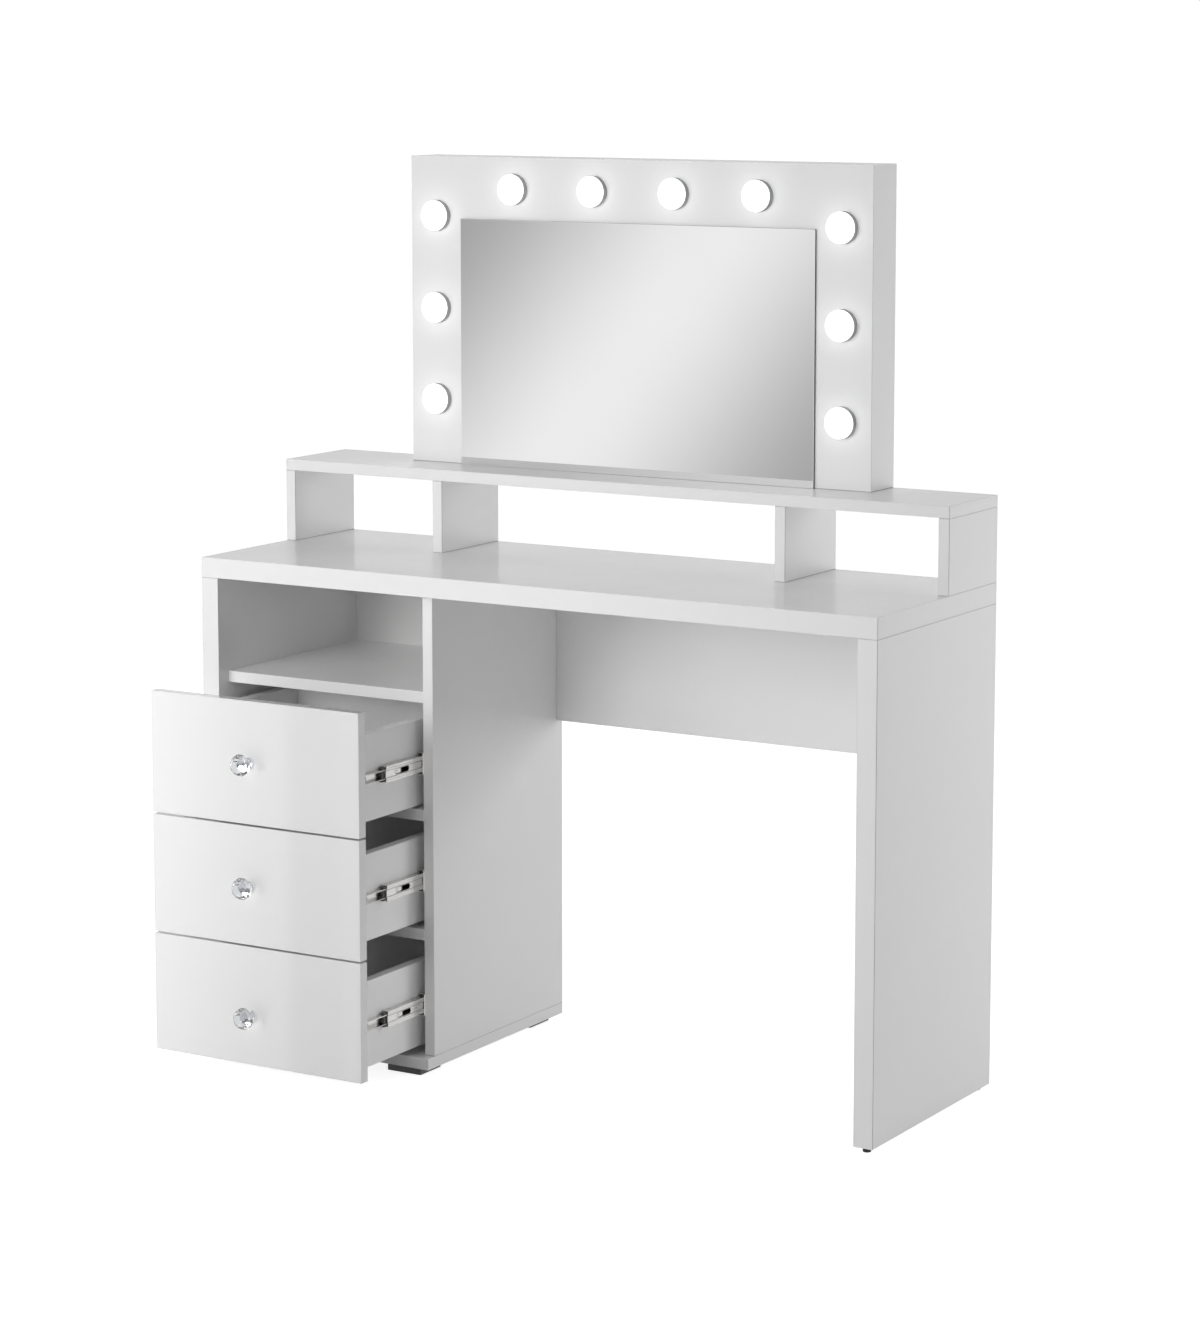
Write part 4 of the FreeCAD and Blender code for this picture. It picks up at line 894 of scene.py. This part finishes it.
@dataclass
class RailSet:
    """The ball rails of one drawer: pedestal, middle and drawer members, with ball keepers."""

    drawer: Drawer
    wall: float = 0.0012
    cabinet_half: float = 0.018
    middle_half: float = 0.0125
    drawer_half: float = 0.008
    flange_end: float = 0.0117
    middle_start: float = 0.0015
    drawer_start: float = 0.003
    drawer_end: float = 0.0127
    strip_half: float = 0.0056
    strip_sink: float = 0.0008
    slot_height: float = 0.009
    slot_inset: float = 0.024
    slot_length: float = 0.040
    end_slope: float = 0.0005
    bead_depth: float = 0.0004
    bead_flat: float = 0.0002
    bead_half: float = 0.0006
    cabinet_lip: float = 0.0022
    cabinet_bend: float = 0.002
    middle_bend: float = 0.0006
    drawer_lip: float = 0.0016
    drawer_bend: float = 0.0015
    screws: tuple[float, ...] = (0.035, 0.16, 0.30)
    screw_steps: int = 20
    stud_steps: int = 24
    stud_place: float = 0.0055
    latch_run: tuple[float, float] = (0.002, 0.018)
    latch_half: float = 0.0031
    latch_wall: float = 0.0006
    latch_ease: float = 0.0002
    keeper_reach: float = 0.007
    keeper_across: tuple[float, float] = (0.0050, 0.0072)
    keeper_depth: float = 0.008
    keeper_gap: float = 0.0015
    keeper_ease: float = 0.0005

    CABINET_ARMS = KeeperArms((0.0025, 0.0102), (0.003, 0.07), 0.0006, 0.0005)
    DRAWER_ARMS = KeeperArms((0.0032, 0.0105), (-0.001, 0.075), 0.0003, 0.0003)
    STUD = ((0.0, 0.0), (0.0026, 0.0), (0.0026, 0.0006), (0.0018, 0.0013), (0.0, 0.0016))
    SCREW = (
        (0.0, 0.0), (0.0036, 0.0), (0.0036, 0.0006), (0.0026, 0.0018), (0.0013, 0.0022), (0.0008, 0.001),
        (0.0, 0.001),
    )

    def boards(self) -> tuple[tuple[Hand, float], ...]:
        """Finds the boards that the rails are screwed to.

        Returns:
            Each hand with its board's face.
        """
        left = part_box("left_side_panel")[1].x
        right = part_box("partition_panel")[0].x
        return ((Hand.LEFT, left), (Hand.RIGHT, right))

    def level(self) -> float:
        """The height of the rails' middle."""
        low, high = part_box(self.drawer.node("middle_rails"))
        return (low.z + high.z) / 2

    def place(self, hand: Hand, board: float) -> Matrix:
        """The place of one hand's rails, with across measured from its board towards the drawer."""
        return Matrix.Translation((board, 0.0, self.level())) @ Matrix.Scale(hand.value, 4, (1.0, 0.0, 0.0))

    def build(self) -> None:
        """Makes the members and keepers of both hands."""
        node = self.drawer.node
        made = {key: bmesh.new() for key in ("middle", "drawer", "keeper")}
        for hand, board in self.boards():
            place = self.place(hand, board)
            merge(made["middle"], self._middle_member(), place)
            merge(made["drawer"], self._drawer_member(), place)
            merge(made["keeper"], self._keeper(), place)
        settle(node("rolled_middle_rails"), made["middle"], ["rail_zinc"], self.drawer.rail_body,
               [node("middle_rails")])
        settle(node("rolled_drawer_rails"), made["drawer"], ["rail_zinc", "zinc_screw"], self.drawer.body,
               [node("drawer_rails")])
        settle(node("ball_keepers"), made["keeper"], ["keeper_plastic"], self.drawer.body)

    def cabinet_members(self, shape: BMesh, keepers: BMesh) -> None:
        """Adds this drawer's members on the pedestal to the set of all drawers.

        Args:
            shape: The rolled members of all drawers.
            keepers: Their ball keepers.
        """
        front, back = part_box("partition_panel")[0].y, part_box("cabinet_rails")[1].y
        half, end, lip = self.cabinet_half, self.flange_end, self.cabinet_lip
        line = ((end, half - lip), (end, half), (0.0, half), (0.0, -half), (end, -half), (end, lip - half))
        for hand, board in self.boards():
            place = self.place(hand, board)
            strip = rolled_strip(line, front, back, self.wall, self.cabinet_bend)
            rim = [point for point in strip.verts if point.co.y < front + TOUCH and point.co.x < TOUCH]
            shift(strip, rim, (0.0, self.end_slope, 0.0))
            merge(shape, strip, place)
            self.CABINET_ARMS.add(keepers, front, (self.middle_half, half - self.wall), place)

    def _middle_member(self) -> BMesh:
        """Rolls one middle member with its slotted web.

        Returns:
            The member, across from its board.
        """
        low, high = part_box(self.drawer.node("middle_rails"))
        start, end, half = self.middle_start, self.flange_end, self.middle_half
        sunk, edge = start + self.strip_sink, self.strip_half
        shape = bmesh.new()
        crest, dip = (half + edge) / 2, start + self.bead_depth
        flat, bead = self.bead_flat, self.bead_half
        upper = (
            (end, half), (start, half), (start, crest + bead), (dip, crest + flat), (dip, crest - flat),
            (start, crest - bead), (start, edge + bead), (sunk, edge), (sunk, edge - bead),
        )
        for side in (1.0, -1.0):
            line = [(across, side * up) for across, up in upper]
            line = line if side > 0.0 else line[::-1]
            merge(shape, rolled_strip(line, low.y, high.y, self.wall, self.middle_bend))
        slot = (self.slot_inset, self.slot_inset + self.slot_length)
        web = slotted_plate(high.y - low.y, 2 * edge, slot, self.slot_height, self.wall)
        stand = Matrix((
            (0.0, 0.0, 1.0, sunk), (1.0, 0.0, 0.0, low.y), (0.0, 1.0, 0.0, 0.0), (0.0, 0.0, 0.0, 1.0),
        ))
        merge(shape, web, stand)
        behind, first = sunk + self.wall, low.y + self.slot_inset
        near = (behind, first + self.latch_run[0], -self.latch_half)
        far = (behind + self.latch_wall, first + self.latch_run[1], self.latch_half)
        merge(shape, eased_block(near, far, self.latch_ease))
        seat = Matrix.Translation((behind, first + self.stud_place, 0.0))
        stud = turned(self.STUD, Axis.UP, self.stud_steps)
        merge(shape, stud, seat @ Matrix.Rotation(-math.pi / 2, 4, "Y"))
        return shape

    def _drawer_member(self) -> BMesh:
        """Rolls one drawer member and drives its screws.

        Returns:
            The member, across from its board.
        """
        low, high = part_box(self.drawer.node("drawer_rails"))
        start, end, half, lip = self.drawer_start, self.drawer_end, self.drawer_half, self.drawer_lip
        line = (
            (start, lip - half), (start, -half), (end, -half), (end, half), (start, half),
            (start, half - lip),
        )
        shape = rolled_strip(line, low.y, high.y, self.wall, self.drawer_bend)
        for along in self.screws:
            head = turned(self.SCREW, Axis.UP, self.screw_steps)
            for face in head.faces:
                face.material_index = 1
            seat = Matrix.Translation((end - self.wall, low.y + along, 0.0))
            merge(shape, head, seat @ Matrix.Rotation(-math.pi / 2, 4, "Y"))
        return shape

    def _keeper(self) -> BMesh:
        """Moulds one ball keeper: an upright in the drawer member and an arm in the race above and below it.

        Returns:
            The keeper, across from its board.
        """
        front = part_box(self.drawer.node("middle_rails"))[0].y - self.keeper_reach
        half, gap = self.drawer_half, self.keeper_gap
        near, far = self.keeper_across
        shape = eased_block((near, front, gap - half), (far, front + self.keeper_depth, half - gap),
                            self.keeper_ease)
        self.DRAWER_ARMS.add(shape, front, (half, self.middle_half - self.wall))
        return shape


@dataclass
class DrawerBox:
    """One drawer: its front, box, knob and rails."""

    drawer: Drawer

    BOARDS = {
        "drawer_front": "front_gloss",
        "drawer_left_side": "drawer_foil",
        "drawer_right_side": "drawer_foil",
        "drawer_rear": "drawer_foil",
        "drawer_bottom": "back_sheet",
    }

    def build(self, frame: dict[str, Any]) -> None:
        """Dresses the drawer's boards and makes its knob and rails.

        Args:
            frame: The loaded frame.
        """
        for board, finish in self.BOARDS.items():
            dress(frame, (self.drawer.node(board),), finish)
        CrystalKnob(self.drawer).build()
        RailSet(self.drawer).build()


def sheet(name: str, half: tuple[float, float], material: Material) -> bpy.types.Object:
    """Makes a thin flat sheet of the studio.

    Args:
        name: The sheet's name.
        half: Half its size each way.
        material: Its material.

    Returns:
        The sheet, about the origin.
    """
    shape = bmesh.new()
    bmesh.ops.create_grid(shape, x_segments=1, y_segments=1, size=1.0)
    bmesh.ops.scale(shape, verts=shape.verts[:], vec=(*half, 1.0))
    mesh = bpy.data.meshes.new(name)
    shape.to_mesh(mesh)
    shape.free()
    mesh.materials.append(material)
    item = bpy.data.objects.new(name, mesh)
    bpy.context.scene.collection.objects.link(item)
    return item


@dataclass(frozen=True)
class Flat:
    """A shaded flat that only a gloss sees, no further off than its reach, and weaker through crystal."""

    name: str
    half: tuple[float, float]
    run: Point
    start: float
    strength: float
    reach: float
    shades: Profile
    through: float = 1.0

    def build(self, middle: Vector, facing: Vector) -> None:
        """Stands the flat up.

        Args:
            middle: Where its middle goes.
            facing: The way its painted side looks.
        """
        flat = sheet(self.name, self.half, self._paint())
        flat.location = middle
        flat.rotation_euler = facing.to_track_quat("Z", "Y").to_euler()
        flat.visible_camera = False
        flat.visible_diffuse = False
        flat.visible_transmission = False
        flat.visible_shadow = False

    def _paint(self) -> Material:
        """Paints the shades, which run so much a metre across the flat and up it.

        Returns:
            The flat's material.
        """
        material = bpy.data.materials.new(self.name)
        material.use_nodes = True
        bench = NodeBench(material.node_tree)
        run = bench.along(bench.put("TexCoord").outputs["Object"], self.run)
        ramp = bench.put("ValToRGB", {"Fac": bench.calc("ADD", run, self.start)})
        ramp.color_ramp.interpolation = "EASE"
        stops = ramp.color_ramp.elements
        while len(stops) < len(self.shades):
            stops.new(0.5)
        for stop, (position, grey) in zip(stops, self.shades):
            stop.position = position
            stop.color = (grey, grey, grey, 1.0)
        path = bench.put("LightPath").outputs
        loss = self.through - self.strength
        power = bench.calc("MULTIPLY_ADD", path["Is Transmission Ray"], loss, self.strength)
        glow = bench.put("Emission", {"Color": ramp.outputs["Color"], "Strength": power})
        clear = bench.put("BsdfTransparent")
        far = bench.calc("GREATER_THAN", path["Ray Length"], self.reach)
        bench.surface(bench.put("MixShader", {0: far, 1: glow.outputs[0], 2: clear.outputs[0]}))
        return material


@dataclass
class Studio:
    """The pale floor, the soft light, the flats that the gloss reflects, and the camera."""

    lamp_places: Sequence[Point]
    camera_place: Point = (2.9324, -4.7472, 1.6145)
    camera_yaw: float = 30.980
    camera_pitch: float = 7.524
    focal_pixels: float = 3691.7
    rise_pixels: float = -140.0
    sensor: float = 36.0
    floor_reach: float = 40.0
    floor_colour: Colour = (0.72, 0.72, 0.72, 1.0)
    floor_glow: float = 0.85
    gloss_white: float = 0.86
    horizon_light: float = 0.18
    zenith_light: float = 0.32
    light_rise: tuple[float, float] = (0.5, 0.7)
    sky_lean: Point = (-0.4, 0.4, 0.0)
    halo_power: float = 0.018
    halo_stand: float = 0.018
    halo_size: float = 0.002
    glass_flat_stand: float = 3.0
    glass_flat_lift: float = 0.18
    front_flat_place: Point = (-1.0, -0.8235, 0.15)

    GLASS_FLAT = Flat(
        "mirror_flat", half=(0.46, 0.51), run=(-0.717, -0.515, 0.0), start=0.407, strength=1.07, reach=4.0,
        shades=((0.0, 0.36), (0.5, 0.84), (1.0, 0.38)),
    )
    FRONT_FLAT = Flat(
        "front_flat", half=(0.60, 0.40), run=(-0.833, 0.0, 0.0), start=0.5, strength=2.4, reach=0.78,
        shades=((0.1, 0.7), (0.42, 1.0), (0.735, 0.35), (0.755, 0.1), (0.83, 0.1), (0.85, 0.25), (0.87, 0.1),
                (1.0, 0.2)),
    )
    SOFT_BOXES = (
        ("front_light", (-0.75, -3.15, 1.6), (-0.2, 0.0, 0.6), 1.1, 33.5),
        ("left_light", (-1.15, -1.9, 0.8), (-0.45, 0.0, 0.55), 0.8, 10.5),
        ("top_light", (0.1, -1.6, 1.9), (0.0, 0.1, 0.8), 0.8, 5.2),
        ("side_light", (2.2, 0.5, 0.9), (0.3, 0.1, 0.7), 1.2, 4.2),
        ("back_light", (2.4, 2.4, 0.85), (0.2, 0.1, 0.5), 1.6, 34.0),
        ("rear_light", (-2.5, 2.5, 1.5), (-0.2, 0.2, 0.7), 1.6, 20.0),
    )

    def build(self) -> None:
        """Sets up the whole studio."""
        self._camera()
        self._sky()
        self._floor()
        self._soft_boxes()
        self._halos()
        self._flats()
        bpy.context.scene.view_settings.view_transform = "Standard"

    def _camera(self) -> None:
        """Places the camera at the photograph's viewing angle."""
        data = bpy.data.cameras.new("viewpoint")
        data.sensor_width = self.sensor
        data.lens = self.focal_pixels * self.sensor / max(IMAGE_WIDTH, IMAGE_HEIGHT)
        data.shift_y = self.rise_pixels / max(IMAGE_WIDTH, IMAGE_HEIGHT)
        camera = bpy.data.objects.new("viewpoint", data)
        camera.location = self.camera_place
        camera.rotation_euler = (math.radians(90.0 - self.camera_pitch), 0.0, math.radians(self.camera_yaw))
        bpy.context.scene.collection.objects.link(camera)
        bpy.context.scene.camera = camera

    def _seen(self, bench: NodeBench) -> Socket:
        """One for a ray straight from the camera, less for one off a gloss, nothing for one through a glass.

        Args:
            bench: The node tree to work on.

        Returns:
            The value's socket.
        """
        path = bench.put("LightPath").outputs
        gloss = bench.calc("SUBTRACT", path["Is Glossy Ray"], path["Is Transmission Ray"])
        return bench.calc("MAXIMUM", path["Is Camera Ray"], bench.calc("MULTIPLY", gloss, self.gloss_white))

    def _sky(self) -> None:
        """Makes the world white to the eye, and to the object a soft light, strongest overhead and behind."""
        world = bpy.data.worlds.new("soft_sky")
        world.use_nodes = True
        bench = NodeBench(world.node_tree)
        direction = bench.put("TexCoord").outputs["Generated"]
        low, high = self.light_rise
        rise = bench.put("MapRange", {
            "Value": bench.split(direction)["Z"], "From Min": low, "From Max": high,
            "To Min": self.horizon_light, "To Max": self.zenith_light,
        }, interpolation_type="SMOOTHSTEP")
        share = bench.calc("ADD", bench.along(direction, self.sky_lean), 1.0)
        light = bench.calc("MULTIPLY", rise.outputs["Result"], share)
        colour = bench.mix(self._seen(bench), light, WHITE)
        bench.fill(world.node_tree.nodes["Background"], {"Color": colour})
        bpy.context.scene.world = world

    def _floor(self) -> None:
        """Lays the floor, which is white but keeps the shadow."""
        material = bpy.data.materials.new("pale_floor")
        material.use_nodes = True
        bench = NodeBench(material.node_tree)
        matte = bench.put("BsdfDiffuse", {"Color": self.floor_colour})
        glow = bench.put("Emission", {"Strength": bench.calc("MULTIPLY", self._seen(bench), self.floor_glow)})
        bench.surface(bench.put("AddShader", {0: matte.outputs[0], 1: glow.outputs[0]}))
        floor = sheet("pale_floor", (self.floor_reach, self.floor_reach), material)
        floor.visible_glossy = False

    def _lamp(self, name: str, kind: str, place: Point, power: float, size: float) -> bpy.types.Object:
        """Hangs one lamp.

        Args:
            name: The lamp's name.
            kind: Blender's type of light.
            place: Where it hangs.
            power: Its power in watts.
            size: Its side or radius.

        Returns:
            The lamp.
        """
        data = bpy.data.lights.new(name, kind)
        data.energy = power
        if kind == "AREA":
            data.size = size
        else:
            data.shadow_soft_size = size
        lamp = bpy.data.objects.new(name, data)
        lamp.location = place
        lamp.visible_camera = False
        lamp.visible_glossy = False
        bpy.context.scene.collection.objects.link(lamp)
        return lamp

    def _soft_boxes(self) -> None:
        """Hangs the large soft lamps, each turned to what it lights."""
        for name, place, aim, size, power in self.SOFT_BOXES:
            lamp = self._lamp(name, "AREA", place, power, size)
            lamp.rotation_euler = (Vector(aim) - Vector(place)).to_track_quat("-Z", "Y").to_euler()

    def _halos(self) -> None:
        """Hangs a small light in each of the mirror's lamps, which shines through its skirt on the panel."""
        for number, (across, face, height) in enumerate(self.lamp_places):
            place = (across, face - self.halo_stand, height)
            lamp = self._lamp(f"halo_{number}", "POINT", place, self.halo_power, self.halo_size)
            lamp.data.use_shadow = False

    def _flats(self) -> None:
        """Stands up the flat that the glass reflects and the one that the drawer fronts reflect."""
        low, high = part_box("mirror_glass")
        middle = Vector(((low.x + high.x) / 2, low.y, (low.z + high.z) / 2))
        eye = Vector(self.camera_place)
        eye.y = 2 * low.y - eye.y
        away = (middle - eye).normalized()
        place = middle + self.glass_flat_stand * away + Vector((0.0, 0.0, self.glass_flat_lift))
        self.GLASS_FLAT.build(place, -away)
        self.FRONT_FLAT.build(Vector(self.front_flat_place), Vector((0.0, 1.0, 0.0)))


def build_cabinet_rails() -> None:
    """Makes the rail members and ball keepers that stay on the pedestal."""
    members, keepers = bmesh.new(), bmesh.new()
    for drawer in Drawer:
        RailSet(drawer).cabinet_members(members, keepers)
    settle("rolled_cabinet_rails", members, ["rail_zinc"], "carcass", ["cabinet_rails"])
    settle("cabinet_ball_keepers", keepers, ["keeper_plastic"], "carcass")


def main() -> None:
    """Builds and dresses the whole table and its studio."""
    logging.basicConfig(level=logging.INFO, format="%(message)s")
    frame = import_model()
    FinishBook().build()
    carcass = Carcass()
    carcass.dress_boards(frame)
    carcass.build_feet()
    carcass.build_glides()
    MirrorGlass().build()
    lamps = LampSet()
    lamps.build()
    build_cabinet_rails()
    for drawer in Drawer:
        DrawerBox(drawer).build(frame)
    Studio(lamps.places()).build()


if __name__ == "__main__":
    main()
